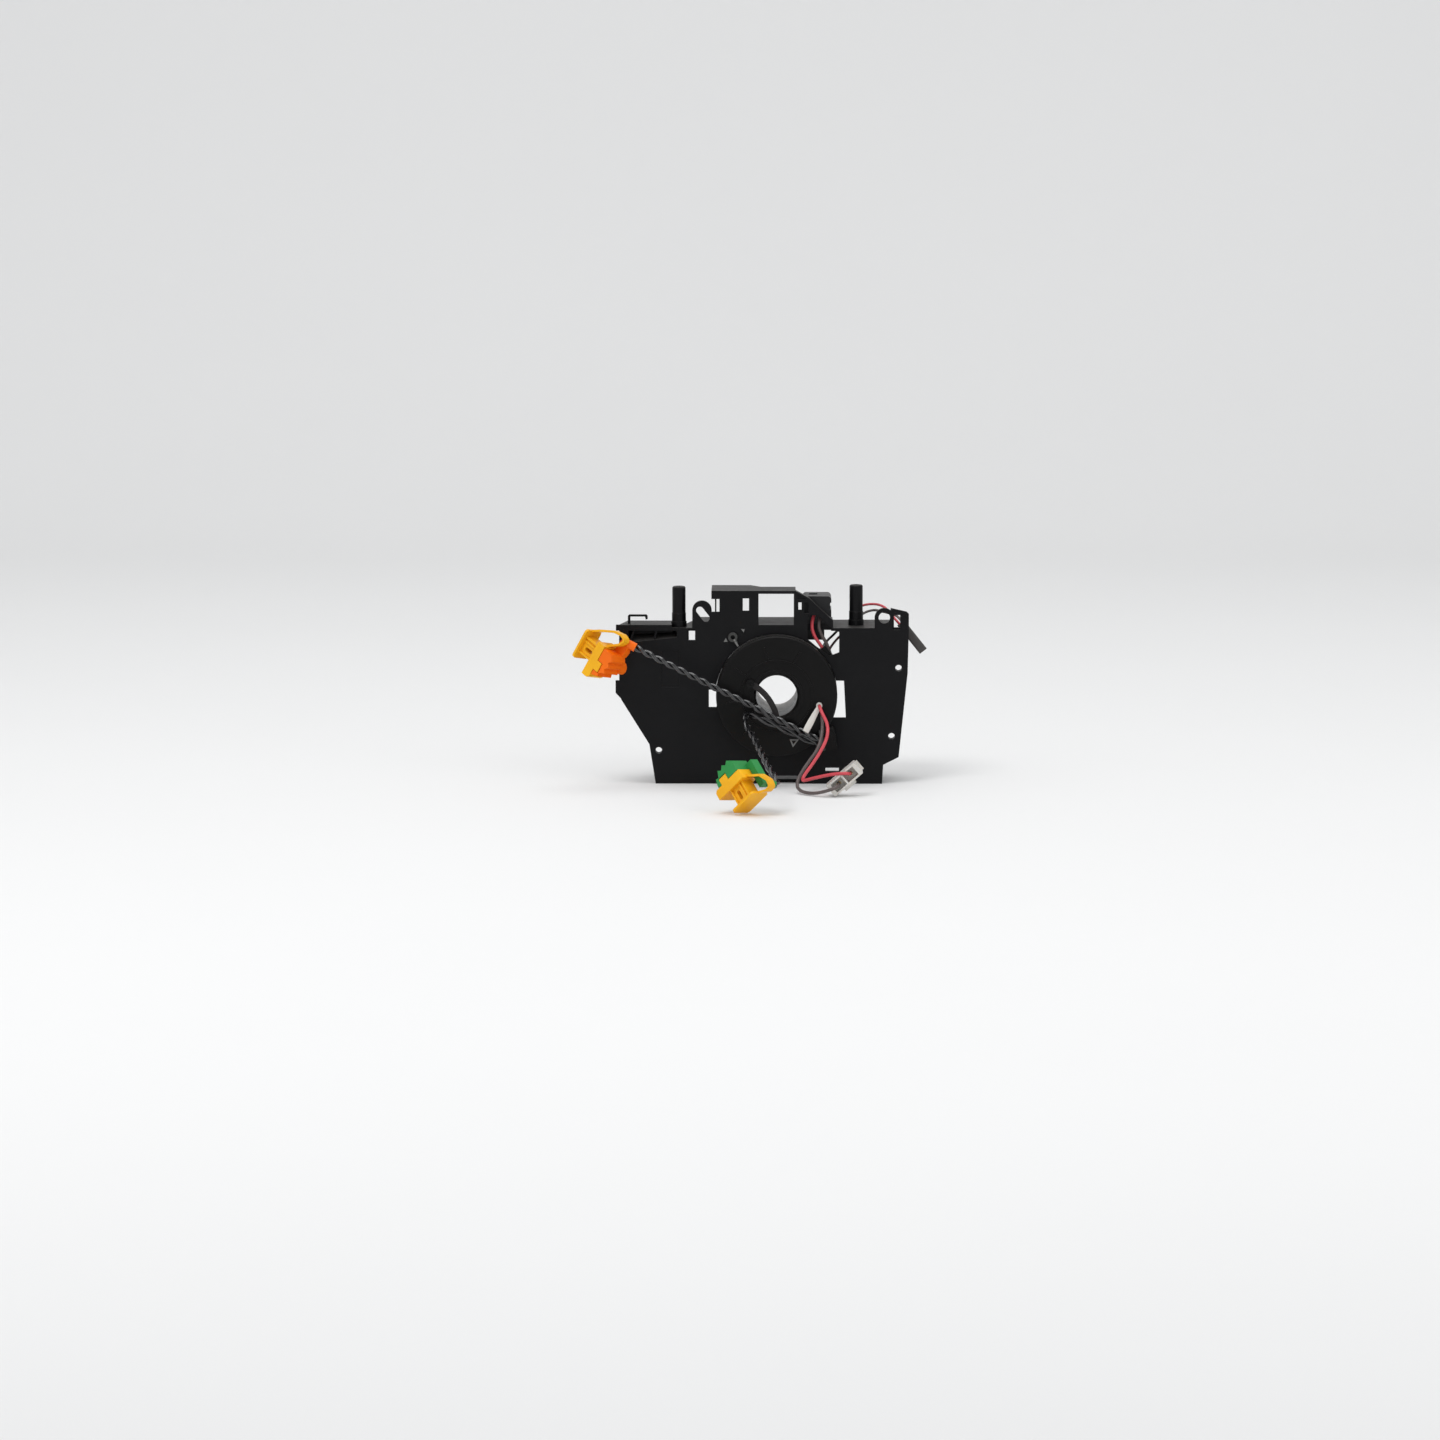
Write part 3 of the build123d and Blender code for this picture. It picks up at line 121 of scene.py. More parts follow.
# ------------------------------------------------------------------ shader work
class Reading:
    """A number read from a node's socket. Sums and products on it add Math nodes."""

    def __init__(self, finish, socket):
        self.finish = finish
        self.socket = socket

    def _maths(self, operation, *values):
        node = self.finish.add("ShaderNodeMath", {"operation": operation}, dict(enumerate(values)))
        return Reading(self.finish, node.outputs[0])

    def __add__(self, other):
        return self._maths("ADD", self, other)

    def __sub__(self, other):
        return self._maths("SUBTRACT", self, other)

    def __rsub__(self, other):
        return self._maths("SUBTRACT", other, self)

    def __mul__(self, other):
        return self._maths("MULTIPLY", self, other)

    def __truediv__(self, other):
        return self._maths("DIVIDE", self, other)

    def __pow__(self, other):
        return self._maths("POWER", self, other)

    def held(self, low=0.0, high=1.0):
        """The same reading, held between two limits."""
        return self._maths("MINIMUM", self._maths("MAXIMUM", self, low), high)

    def wave(self):
        """Sine of the reading."""
        return self._maths("SINE", self)

    def size(self):
        """The reading without its sign."""
        return self._maths("ABSOLUTE", self)

    __radd__ = __add__
    __rmul__ = __mul__


class Finish:
    """A node material that is being made."""

    def __init__(self, name):
        self.material = bpy.data.materials.new(name)
        self.material.use_nodes = True
        self.tree = self.material.node_tree
        self.tree.nodes.clear()
        self.shader = self.add("ShaderNodeBsdfPrincipled")
        self.add("ShaderNodeOutputMaterial", inputs={"Surface": self.shader.outputs[0]})
        self.place = self.add("ShaderNodeTexCoord").outputs["Object"]
        self.face = self.add("ShaderNodeNewGeometry").outputs["Normal"]

    def add(self, kind, settings=None, inputs=None):
        """One node of that type: its settings first, then its sockets' values or links."""
        node = self.tree.nodes.new(kind)
        for name, value in (settings or {}).items():
            setattr(node, name, value)
        for name, value in (inputs or {}).items():
            if isinstance(value, Reading):
                value = value.socket
            if isinstance(value, bpy.types.NodeSocket):
                self.tree.links.new(value, node.inputs[name])
            else:
                node.inputs[name].default_value = value
        return node

    def noise(self, scale, detail=2.0, stretch=(1.0, 1.0, 1.0)):
        """Soft random reading from 0 to 1, with that many spots to the metre."""
        place = self.add("ShaderNodeVectorMath", {"operation": "MULTIPLY"}, {0: self.place, 1: stretch})
        node = self.add("ShaderNodeTexNoise", None,
                        {"Vector": place.outputs[0], "Scale": scale, "Detail": detail})
        return Reading(self, node.outputs["Fac"])

    def part_of(self, vector):
        """The three readings of a vector."""
        node = self.add("ShaderNodeSeparateXYZ", None, {0: vector})
        return [Reading(self, socket) for socket in node.outputs]

    def between(self, share, first, second):
        """Colour between two others by a reading."""
        node = self.add("ShaderNodeMix", {"data_type": "RGBA"}, {0: share, 6: first, 7: second})
        return node.outputs[2]

    def rounded(self, radius):
        """Normal of the surface with its edges rounded."""
        return self.add("ShaderNodeBevel", {"samples": 4}, {"Radius": radius}).outputs[0]

    def relief(self, height, depth, strength=1.0, over=None):
        """Feed the surface's relief from a reading."""
        inputs = {"Height": height, "Distance": depth, "Strength": strength}
        if over is not None:
            inputs["Normal"] = over
        node = self.add("ShaderNodeBump", None, inputs)
        self.feed("Normal", node.outputs[0])

    def feed(self, name, value):
        """Set or link one of the shader's own sockets."""
        if isinstance(value, Reading):
            value = value.socket
        if isinstance(value, bpy.types.NodeSocket):
            self.tree.links.new(value, self.shader.inputs[name])
        else:
            self.shader.inputs[name].default_value = value


def opaque(colour, lift=1.0):
    """Colour with its alpha, lightened by a factor."""
    return (*(min(1.0, channel * lift) for channel in colour[:3]), 1.0)


def moulded_plastic(name, colour, roughness=0.45, grain=1.0, dust=0.3, edge=0.35, gloss=0.5):
    """Injection-moulded plastic: spark-eroded grain, dusty tops, edges lightened as rubbed wear and painted
    highlight.
    """
    finish = Finish(name)
    broad = finish.noise(38.0, 3.0)
    speck = finish.noise(900.0, 5.0)
    smear = finish.noise(90.0, 4.0, (1.0, 1.0, 0.25))
    rounded = finish.rounded(0.35 * MM)
    up = finish.part_of(finish.face)[2]
    settled = ((up - 0.25) * 1.6).held() * (0.35 + (speck - 0.4) * 1.3 + (broad - 0.5) * 0.5).held() * dust
    # Edge mask from the rounded normal; its lighter edge colour is partly rubbed wear and partly painted
    # highlight.
    meeting = finish.add("ShaderNodeVectorMath", {"operation": "DOT_PRODUCT"},
                         {0: rounded, 1: finish.face})
    edge_wear_and_highlight = ((1.0 - Reading(finish, meeting.outputs["Value"])) * 7.0 * speck).held() * edge
    base = finish.between(broad, opaque(colour, 0.8), opaque(colour, 1.35))
    # Edges mixed towards pale grey: painted highlight together with rubbed wear.
    base = finish.between(edge_wear_and_highlight, base, opaque([0.8 * c + 0.035 for c in colour[:3]]))
    base = finish.between(settled, base, (0.16, 0.15, 0.14, 1.0))
    finish.feed("Base Color", base)
    finish.feed("Roughness", (roughness + (smear - 0.5) * 0.22 + settled * 0.5).held(0.12, 0.95))
    finish.feed("Specular IOR Level", gloss)
    height = finish.noise(4200.0, 2.0) * 0.55 * grain + finish.noise(900.0, 3.0) * 0.45 * grain
    finish.relief(height, 0.05 * MM, 0.35, rounded)
    return finish.material


def clear_nylon(name, colour, roughness=0.38):
    """Unpigmented nylon: milky, slightly see-through, with faint flow marks."""
    finish = Finish(name)
    cloud = finish.noise(160.0, 4.0)
    flow = finish.noise(70.0, 3.0, (1.0, 0.3, 1.0))
    rounded = finish.rounded(0.3 * MM)
    base = finish.between(cloud, opaque(colour, 0.86), opaque(colour, 1.12))
    finish.feed("Base Color", base)
    finish.feed("Roughness", (roughness + (flow - 0.5) * 0.25).held(0.15, 0.9))
    finish.feed("Subsurface Weight", 0.12)
    finish.feed("Subsurface Radius", (0.004, 0.003, 0.002))
    finish.relief(finish.noise(2600.0, 3.0), 0.04 * MM, 0.3, rounded)
    return finish.material


def plated_metal(name, colour, roughness=0.3, streak=1.0):
    """Plated metal: directional polishing marks and faint tarnish."""
    finish = Finish(name)
    tarnish = finish.noise(240.0, 4.0)
    lines = finish.noise(900.0, 2.0, (1.0, 0.1, 1.0))
    finish.feed("Metallic", 1.0)
    finish.feed("Base Color", finish.between(tarnish, opaque(colour, 0.75), opaque(colour, 1.12)))
    finish.feed("Roughness", (roughness + (lines - 0.5) * 0.3 * streak).held(0.08, 0.8))
    finish.relief(lines, 0.02 * MM, 0.3, finish.rounded(0.15 * MM))
    return finish.material


def wire_skin(name, colour, roughness=0.42, coat=0.0):
    """Extruded insulation: satin, with drawn lines, faint ripples and handling dirt."""
    finish = Finish(name)
    dirt = finish.noise(210.0, 4.0)
    ripple = finish.noise(700.0, 2.0)
    finish.feed("Base Color", finish.between((dirt - 0.3) * 1.4, opaque(colour, 1.08), opaque(colour, 0.7)))
    finish.feed("Roughness", (roughness + (dirt - 0.5) * 0.3).held(0.12, 0.85))
    finish.feed("Coat Weight", coat)
    finish.feed("Coat Roughness", 0.16)
    finish.relief(ripple, 0.06 * MM, 0.35)
    return finish.material


def woven_sleeve(name, colour, pitch=0.9 * MM):
    """Braided glass sleeve: crossed yarns with a dull sheen."""
    finish = Finish(name)
    x, y, z = finish.part_of(finish.place)
    turns = 2 * math.pi / pitch
    across = ((x + z) * turns).wave()
    along = ((x - z + y * 0.6) * turns).wave()
    weave = (across * along) * 0.5 + 0.5
    worn = finish.noise(300.0, 4.0)
    base = finish.between(weave, opaque(colour, 0.55), opaque(colour, 1.3))
    finish.feed("Base Color", finish.between(worn * 0.35, base, opaque(colour, 1.7)))
    finish.feed("Roughness", (0.55 + (1.0 - weave) * 0.25).held())
    finish.relief(weave, 0.12 * MM, 0.6)
    return finish.material


def rubber(name, colour):
    """Moulded rubber with a bloomed, powdery surface."""
    finish = Finish(name)
    bloom = finish.noise(130.0, 5.0)
    powdery = opaque([c + 0.05 for c in colour[:3]])
    finish.feed("Base Color", finish.between(bloom * 0.6, opaque(colour), powdery))
    finish.feed("Roughness", (0.6 + bloom * 0.25).held())
    finish.relief(finish.noise(1500.0, 3.0), 0.05 * MM, 0.4, finish.rounded(0.3 * MM))
    return finish.material


def printed_film(name, colour):
    """Polyester film with copper tracks showing through as stripes along it."""
    finish = Finish(name)
    y = finish.part_of(finish.place)[1]
    tracks = (((y * (2 * math.pi / (2.4 * MM))).wave()) * 3.0).held()
    finish.feed("Base Color", finish.between(tracks, opaque(colour), (0.72, 0.36, 0.15, 1.0)))
    finish.feed("Roughness", (0.22 + finish.noise(180.0, 3.0) * 0.15).held())
    finish.relief(tracks, 0.03 * MM, 0.4)
    return finish.material


def pale_sweep(name, colour):
    """Plain pale backdrop, which takes the object's shadow."""
    finish = Finish(name)
    mottled = finish.noise(3.0, 2.0)
    finish.feed("Base Color", finish.between(mottled, opaque(colour, 0.985), opaque(colour, 1.0)))
    finish.feed("Roughness", (0.85 + mottled * 0.05).held())
    finish.feed("Specular IOR Level", 0.1)
    finish.relief(finish.noise(60.0, 3.0), 0.2 * MM, 0.2)
    return finish.material


# ------------------------------------------------------------------ mesh work
def dress(node, material):
    """Give a carried-over solid its finish."""
    mesh = frame["nodes"][node].data
    mesh.materials.clear()
    mesh.materials.append(material)


def new_piece(name, form, material, smooth=True):
    """Put a finished mesh in the scene under its name, with its finish."""
    mesh = bpy.data.meshes.new(name)
    bmesh.ops.recalc_face_normals(form, faces=form.faces)
    form.to_mesh(mesh)
    form.free()
    mesh.polygons.foreach_set("use_smooth", [smooth] * len(mesh.polygons))
    mesh.materials.append(material)
    piece = bpy.data.objects.new(name, mesh)
    bpy.context.scene.collection.objects.link(piece)
    return piece


def smooth_line(name, route):
    """Curve through a route's control points."""
    curve = bpy.data.curves.new(name, "CURVE")
    curve.dimensions = "3D"
    curve.resolution_u = 16
    spline = curve.splines.new("NURBS")
    spline.points.add(len(route) - 1)
    for point, place in zip(spline.points, route):
        point.co = (*place, 1.0)
    spline.order_u = 3
    spline.use_endpoint_u = True
    return curve


def even_points(route, step):
    """Points at even steps along a route's smooth line."""
    guide = bpy.data.objects.new("guide", smooth_line("guide", route))
    mesh = bpy.data.meshes.new_from_object(guide)
    line = [vertex.co.copy() for vertex in mesh.vertices]
    bpy.data.objects.remove(guide)
    bpy.data.meshes.remove(mesh)
    lengths = [0.0]
    for before, here in zip(line, line[1:]):
        lengths.append(lengths[-1] + (here - before).length)
    count = max(2, round(lengths[-1] / step))
    points = []
    at = 0
    for index in range(count + 1):
        want = lengths[-1] * index / count
        while at < len(line) - 2 and lengths[at + 1] < want:
            at += 1
        share = (want - lengths[at]) / max(1e-9, lengths[at + 1] - lengths[at])
        points.append(line[at].lerp(line[at + 1], share))
    return points, lengths[-1]


def carried_frames(points):
    """At each point the line's direction and a side that doesn't twist along it."""
    heading = (points[1] - points[0]).normalized()
    side = heading.orthogonal().normalized()
    frames = []
    for index, point in enumerate(points):
        ahead = points[min(index + 1, len(points) - 1)]
        behind = points[max(index - 1, 0)]
        turned = (ahead - behind).normalized()
        side = (heading.rotation_difference(turned) @ side).normalized()
        heading = turned
        frames.append((point, heading, side))
    return frames


def add_tube(form, rings, sides):
    """Skin a list of (centre, heading, side, radius) rings, with closed ends."""
    loops = []
    for centre, heading, side, radius in rings:
        loop = []
        for step in range(sides):
            turn = Quaternion(heading, 2 * math.pi * step / sides)
            loop.append(form.verts.new(centre + turn @ side * radius))
        loops.append(loop)
    for before, here in zip(loops, loops[1:]):
        for step in range(sides):
            after = (step + 1) % sides
            form.faces.new((before[step], before[after], here[after], here[step]))
    form.faces.new(loops[0][::-1])
    form.faces.new(loops[-1])


def twisted_strands(frames, strand_r, pitch, sides):
    """Two strands wound round each other along a line."""
    form = bmesh.new()
    step = (frames[1][0] - frames[0][0]).length
    for half in (0.0, math.pi):
        line = []
        for index, (point, heading, side) in enumerate(frames):
            turn = Quaternion(heading, 2 * math.pi * index * step / pitch + half)
            line.append(point + turn @ side * strand_r)
        rings = [(*ring, strand_r) for ring in carried_frames(line)]
        add_tube(form, rings, sides)
    return form


def ridged_plate(form, foot, head, normal, widths, thickness, ridge):
    """Plate from foot to head, widening as given, with a low ridge along its middle."""
    along = (head - foot).normalized()
    across = normal.cross(along).normalized()
    rows = []
    for index, width in enumerate(widths):
        middle = foot.lerp(head, index / (len(widths) - 1))
        front = [(-0.5, 0.0), (-0.42, 0.2), (-0.1, ridge), (0.1, ridge), (0.42, 0.2), (0.5, 0.0)]
        outline = [middle + across * (width * share) + normal * (rise * MM) for share, rise in front]
        outline += [middle + across * (width * share) - normal * thickness for share in (0.5, 0.0, -0.5)]
        rows.append([form.verts.new(place) for place in outline])
    for before, here in zip(rows, rows[1:]):
        for side in range(len(here)):
            after = (side + 1) % len(here)
            form.faces.new((before[side], before[after], here[after], here[side]))
    form.faces.new(rows[0][::-1])
    form.faces.new(rows[-1])


def lathed(form, centre, axis, profile, sides):
    """Ring swept round an axis from (radius, height) points."""
    side = axis.orthogonal().normalized()
    rings = []
    for step in range(sides):
        out = Quaternion(axis, 2 * math.pi * step / sides) @ side
        rings.append([form.verts.new(centre + out * radius + axis * height) for radius, height in profile])
    for step in range(sides):
        here, after = rings[step], rings[(step + 1) % sides]
        for edge in range(len(profile)):
            other = (edge + 1) % len(profile)
            form.faces.new((here[edge], here[other], after[other], after[edge]))


def stadium(start, end, radius, steps=8):
    """Outline of a bar with round ends, as (x, z) points in mm."""
    along = (Vector(end) - Vector(start)).normalized()
    outline = []
    for centre, first in ((Vector(start), 90), (Vector(end), -90)):
        for step in range(steps + 1):
            turn = math.radians(first + 180 * step / steps)
            outline.append(centre + radius * Vector((along.x * math.cos(turn) - along.y * math.sin(turn),
                                                     along.x * math.sin(turn) + along.y * math.cos(turn))))
    return outline


def rim_strips(corners, centre, outer, inner):
    """Outlines of the strips along a polygon's sides, between two shares of its size."""
    grown, shrunk = ([Vector(centre).lerp(Vector(corner), share) for corner in corners]
                     for share in (outer, inner))
    strips = []
    for index in range(len(corners)):
        after = (index + 1) % len(corners)
        strips.append([grown[index], grown[after], shrunk[after], shrunk[index]])
    return strips


def painted_highlight_cap(form, outline, front, back):
    """Flat-faced cap of painted highlight over an outline of (x, z) points, between two depths, all in mm.
    """
    near, far = ([form.verts.new(Vector((x, depth, z)) * MM) for x, z in outline] for depth in (front, back))
    form.faces.new(near)
    form.faces.new(far[::-1])
    for index in range(len(outline)):
        after = (index + 1) % len(outline)
        form.faces.new((near[index], near[after], far[after], far[index]))


def body_of_node(node):
    """Body that a CAD node rides on."""
    return frame["nodes"][node]["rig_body"]


# ------------------------------------------------------------------ small forms and colours
# Each painted highlight cap, pale grey over a pointer mark or the latch's tail: its name, the node it rides
# on, its outlines, and its front and back depth in mm.
PAINTED_HIGHLIGHT_CAPS = (
    ("carrier_painted_highlights", "carrier",
     [[(-36.1, 36.3), (-33.3, 36.3), (-34.6, 39.1)], [(-24.3, 45.1), (-21.8, 44.8), (-22.5, 42.7)]],
     -0.66, -0.5),
    ("rotor_painted_highlight", "rotor",
     rim_strips([(8.6, -29.0), (15.6, -29.0), (11.0, -35.0)], (11.55, -31.0), 0.93, 0.47),
     -11.06, -10.9),
    ("latch_painted_highlight", "centring_latch",
     [stadium((-28.8, 37.8), (-28.6, 37.45), 0.62), stadium((-27.9, 36.3), (-26.5, 33.9), 0.6)],
     -3.3, -2.6),
)

ROTOR_FRONT = -0.010
TAB_EYE = (0.0289, -0.0152, -0.006)
TAB_TAIL = (0.0196, -0.0236, -0.0226)
TAB_WIDTHS = (4.2, 4.5, 4.4, 4.0, 3.4, 2.6)     # mm, from the tail to the eye
TAB_THICKNESS = 0.9 * MM
TAB_RIDGE = 0.45                                # mm
EYE_PROFILE = ((1.3, 0.0), (2.1, 0.0), (2.1, 5.4), (1.8, 5.8), (1.3, 5.8))  # radius and height in mm
EYE_SIDES = 28

LATCH_GREY = (0.05, 0.05, 0.048)
SCREW_BLACK = (0.02, 0.02, 0.02)
STRAP_BROWN = (0.012, 0.010, 0.010)
GROMMET_BLACK = (0.02, 0.02, 0.02)
FEED_BLACK = (0.012, 0.012, 0.013)
SLEEVE_GREY = (0.055, 0.05, 0.047)


# ------------------------------------------------------------------ settings
class MouldingSettings(bpy.types.PropertyGroup):
    """Black mouldings."""
    carrier_colour: FloatVectorProperty(
        name="Carrier colour", description="Colour of the switch carrier", subtype="COLOR",
        size=3, min=0.0, max=1.0, default=(0.0036, 0.0036, 0.0042))
    drum_colour: FloatVectorProperty(
        name="Drum colour", description="Colour of the drum and its rear cover", subtype="COLOR",
        size=3, min=0.0, max=1.0, default=(0.0026, 0.0024, 0.0024))
    rotor_colour: FloatVectorProperty(
        name="Rotor colour", description="Colour of the turning front disc", subtype="COLOR",
        size=3, min=0.0, max=1.0, default=(0.0024, 0.0022, 0.0022))
    dust: FloatProperty(
        name="Dust", description="How much dust lies on the tops", subtype="FACTOR",
        min=0.0, max=1.0, default=0.45)
    gloss: FloatProperty(
        name="Gloss", description="How strongly the black plastic mirrors", subtype="FACTOR",
        min=0.0, max=1.0, default=0.15)
    # Pale grey of the painted highlight caps over the pointer marks and the latch.
    highlight_paint_colour: FloatVectorProperty(
        name="Painted highlight colour", description="Colour of the painted highlights on the pointer marks and the latch's tail", subtype="COLOR",
        size=3, min=0.0, max=1.0, default=(0.17, 0.17, 0.165))


class InnerSettings(bpy.types.PropertyGroup):
    """Ring, film and ribbon inside and behind the drum."""
    ring_colour: FloatVectorProperty(
        name="Ring colour", description="Colour of the cancelling ring", subtype="COLOR",
        size=3, min=0.0, max=1.0, default=(0.42, 0.40, 0.38))
    ribbon_turns: IntProperty(
        name="Ribbon turns", description="Turns of the flat cable round the hub",
        min=2, max=12, default=7)
    ribbon_thickness: FloatProperty(
        name="Ribbon thickness", description="Thickness of the flat cable", subtype="DISTANCE",
        unit="LENGTH", min=0.0001, max=0.001, default=0.00025)


class LeadSettings(bpy.types.PropertyGroup):
    """Twisted leads of the two plugs."""
    strand_radius: FloatProperty(
        name="Strand radius", description="Radius of one strand", subtype="DISTANCE",
        unit="LENGTH", min=0.0005, max=0.003, default=0.0012)
    upper_pitch: FloatProperty(
        name="Upper pitch", description="Length of one full turn of the upper pair", subtype="DISTANCE",
        unit="LENGTH", min=0.005, max=0.05, default=0.0168)
    lower_pitch: FloatProperty(
        name="Lower pitch", description="Length of one full turn of the looser lower pair",
        subtype="DISTANCE", unit="LENGTH", min=0.005, max=0.05, default=0.029)
    colour: FloatVectorProperty(
        name="Lead colour", description="Colour of the twisted strands", subtype="COLOR",
        size=3, min=0.0, max=1.0, default=(0.006, 0.006, 0.007))


class WireSettings(bpy.types.PropertyGroup):
    """Single wires."""
    diameter: FloatProperty(
        name="Wire diameter", description="Diameter over the insulation", subtype="DISTANCE",
        unit="LENGTH", min=0.001, max=0.005, default=0.0023)
    feed_diameter: FloatProperty(
        name="Feed wire diameter", description="Diameter of the two thin feed wires",
        subtype="DISTANCE", unit="LENGTH", min=0.001, max=0.005, default=0.0017)
    red: FloatVectorProperty(
        name="Red", description="Colour of the red wires", subtype="COLOR",
        size=3, min=0.0, max=1.0, default=(0.62, 0.06, 0.08))
    dark: FloatVectorProperty(
        name="Dark", description="Colour of the dark wires", subtype="COLOR",
        size=3, min=0.0, max=1.0, default=(0.105, 0.082, 0.078))


class PlugSettings(bpy.types.PropertyGroup):
    """Keyed plugs with sliding locks."""
    upper_colour: FloatVectorProperty(
        name="Upper plug colour", description="Colour of the upper plug's housing", subtype="COLOR",
        size=3, min=0.0, max=1.0, default=(0.93, 0.14, 0.004))
    lower_colour: FloatVectorProperty(
        name="Lower plug colour", description="Colour of the lower plug's housing", subtype="COLOR",
        size=3, min=0.0, max=1.0, default=(0.028, 0.24, 0.06))
    lock_colour: FloatVectorProperty(
        name="Lock colour", description="Colour of both sliding locks", subtype="COLOR",
        size=3, min=0.0, max=1.0, default=(0.93, 0.40, 0.01))


class FittingSettings(bpy.types.PropertyGroup):
    """Connectors, strap, clip, grommet, screws and terminals."""
    nylon: FloatVectorProperty(
        name="Natural nylon", description="Colour of the unpigmented connector and clip",
        subtype="COLOR", size=3, min=0.0, max=1.0, default=(0.62, 0.60, 0.56))
    zinc: FloatVectorProperty(
        name="Zinc", description="Colour of the plated screws", subtype="COLOR",
        size=3, min=0.0, max=1.0, default=(0.55, 0.54, 0.50))
    brass: FloatVectorProperty(
        name="Brass", description="Colour of pins and terminals", subtype="COLOR",
        size=3, min=0.0, max=1.0, default=(0.72, 0.50, 0.20))


class StageSettings(bpy.types.PropertyGroup):
    """Floor, light and camera."""
    floor_colour: FloatVectorProperty(
        name="Floor colour", description="Colour of the floor and backdrop", subtype="COLOR",
        size=3, min=0.0, max=1.0, default=(0.83, 0.83, 0.825))
    lens: FloatProperty(
        name="Lens", description="Focal length in millimetres", min=20.0, max=400.0, default=169.13)


# ------------------------------------------------------------------ pieces
class SPRING_OT_mouldings(bpy.types.Operator):
    """Finish the carrier, drum, rear cover, rotor and latch, and add the painted highlight caps over their
    marks
    """
    bl_idname = "spring.mouldings"
    bl_label = "Mouldings"

    def execute(self, context):
        chosen = context.scene.spring_mouldings
        dress("carrier", moulded_plastic("carrier_black", chosen.carrier_colour, roughness=0.40, grain=1.0,
                                         dust=chosen.dust, edge=0.3, gloss=chosen.gloss))
        drum = moulded_plastic("drum_black", chosen.drum_colour, roughness=0.36, grain=0.7,
                               dust=chosen.dust, edge=0.25, gloss=chosen.gloss)
        dress("drum_housing", drum)
        dress("rear_cover", drum)
        dress("rotor", moulded_plastic("rotor_black", chosen.rotor_colour, roughness=0.32, grain=0.5,
                                       dust=0.15, edge=0.3, gloss=chosen.gloss))
        # Latch edges lightened more strongly: mostly painted highlight, partly rubbed wear.
        dress("centring_latch", moulded_plastic("latch_grey", LATCH_GREY, roughness=0.4, grain=0.6,
                                                dust=0.2, edge=0.5, gloss=chosen.gloss))
        # Painted highlight: pale grey caps over the pointer marks and the latch's tail.
        paint = moulded_plastic("highlight_paint_grey", chosen.highlight_paint_colour, roughness=0.5, grain=0.6,
                                dust=0.0, edge=0.0, gloss=0.3)
        for name, rider, marks, front, back in PAINTED_HIGHLIGHT_CAPS:
            form = bmesh.new()
            for outline in marks:
                painted_highlight_cap(form, outline, front, back)
            mark = new_piece(name, form, paint, False)
            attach(mark, body_of_node(rider))
        return {"FINISHED"}


class SPRING_OT_inner_parts(bpy.types.Operator):
    """Finish the cancelling ring and slide film and wind the ribbon cable"""
    bl_idname = "spring.inner_parts"
    bl_label = "Inner parts"

    def execute(self, context):
        chosen = context.scene.spring_inner
        dress("cancel_ring", moulded_plastic("ring_grey", chosen.ring_colour, 0.42, 0.8, 0.1, 0.2))
        dress("slide_film", clear_nylon("film_cream", (0.60, 0.58, 0.52), 0.5))
        low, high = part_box("ribbon_cable")
        hub_r, hub_gap, drum_gap, rings_a_turn, spread = 17.8 * MM, 0.5 * MM, 0.6 * MM, 72, 0.85
        outer = high.x - drum_gap
        inner = hub_r + hub_gap
        steps = rings_a_turn * chosen.ribbon_turns
        form = bmesh.new()
        walls = []
        for index in range(steps + 1):
            share = index / steps
            turn = 2 * math.pi * chosen.ribbon_turns * share
            radius = inner + (outer - inner) * share ** spread
            corners = []
            for (r, y) in ((radius, low.y), (radius + chosen.ribbon_thickness, low.y),
                           (radius + chosen.ribbon_thickness, high.y), (radius, high.y)):
                corners.append(form.verts.new((r * math.cos(turn), y, r * math.sin(turn))))
            walls.append(corners)
        for before, here in zip(walls, walls[1:]):
            for side in range(4):
                after = (side + 1) % 4
                form.faces.new((before[side], before[after], here[after], here[side]))
        form.faces.new(walls[0][::-1])
        form.faces.new(walls[-1])
        ribbon = new_piece("flat_cable", form, printed_film("cable_film", (0.42, 0.19, 0.06)))
        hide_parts("ribbon_cable")
        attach(ribbon, body_of_node("ribbon_cable"))
        return {"FINISHED"}


class SPRING_OT_plugs(bpy.types.Operator):
    """Finish both plugs, their locks and their contacts"""
    bl_idname = "spring.plugs"
    bl_label = "Plugs"

    def execute(self, context):
        chosen = context.scene.spring_plugs
        lock = moulded_plastic("lock_yellow", chosen.lock_colour, roughness=0.36, grain=0.6,
                               dust=0.0, edge=0.0, gloss=0.22)
        contact = plated_metal("contact_brass", context.scene.spring_fittings.brass, 0.25)
        for end, colour in (("upper", chosen.upper_colour), ("lower", chosen.lower_colour)):
            housing = moulded_plastic(f"{end}_housing", colour, roughness=0.36, grain=0.6,
                                      dust=0.0, edge=0.0, gloss=0.2)
            dress(f"{end}_plug_body", housing)
            dress(f"{end}_plug_lock", lock)
            dress(f"{end}_plug_contacts", contact)
        return {"FINISHED"}


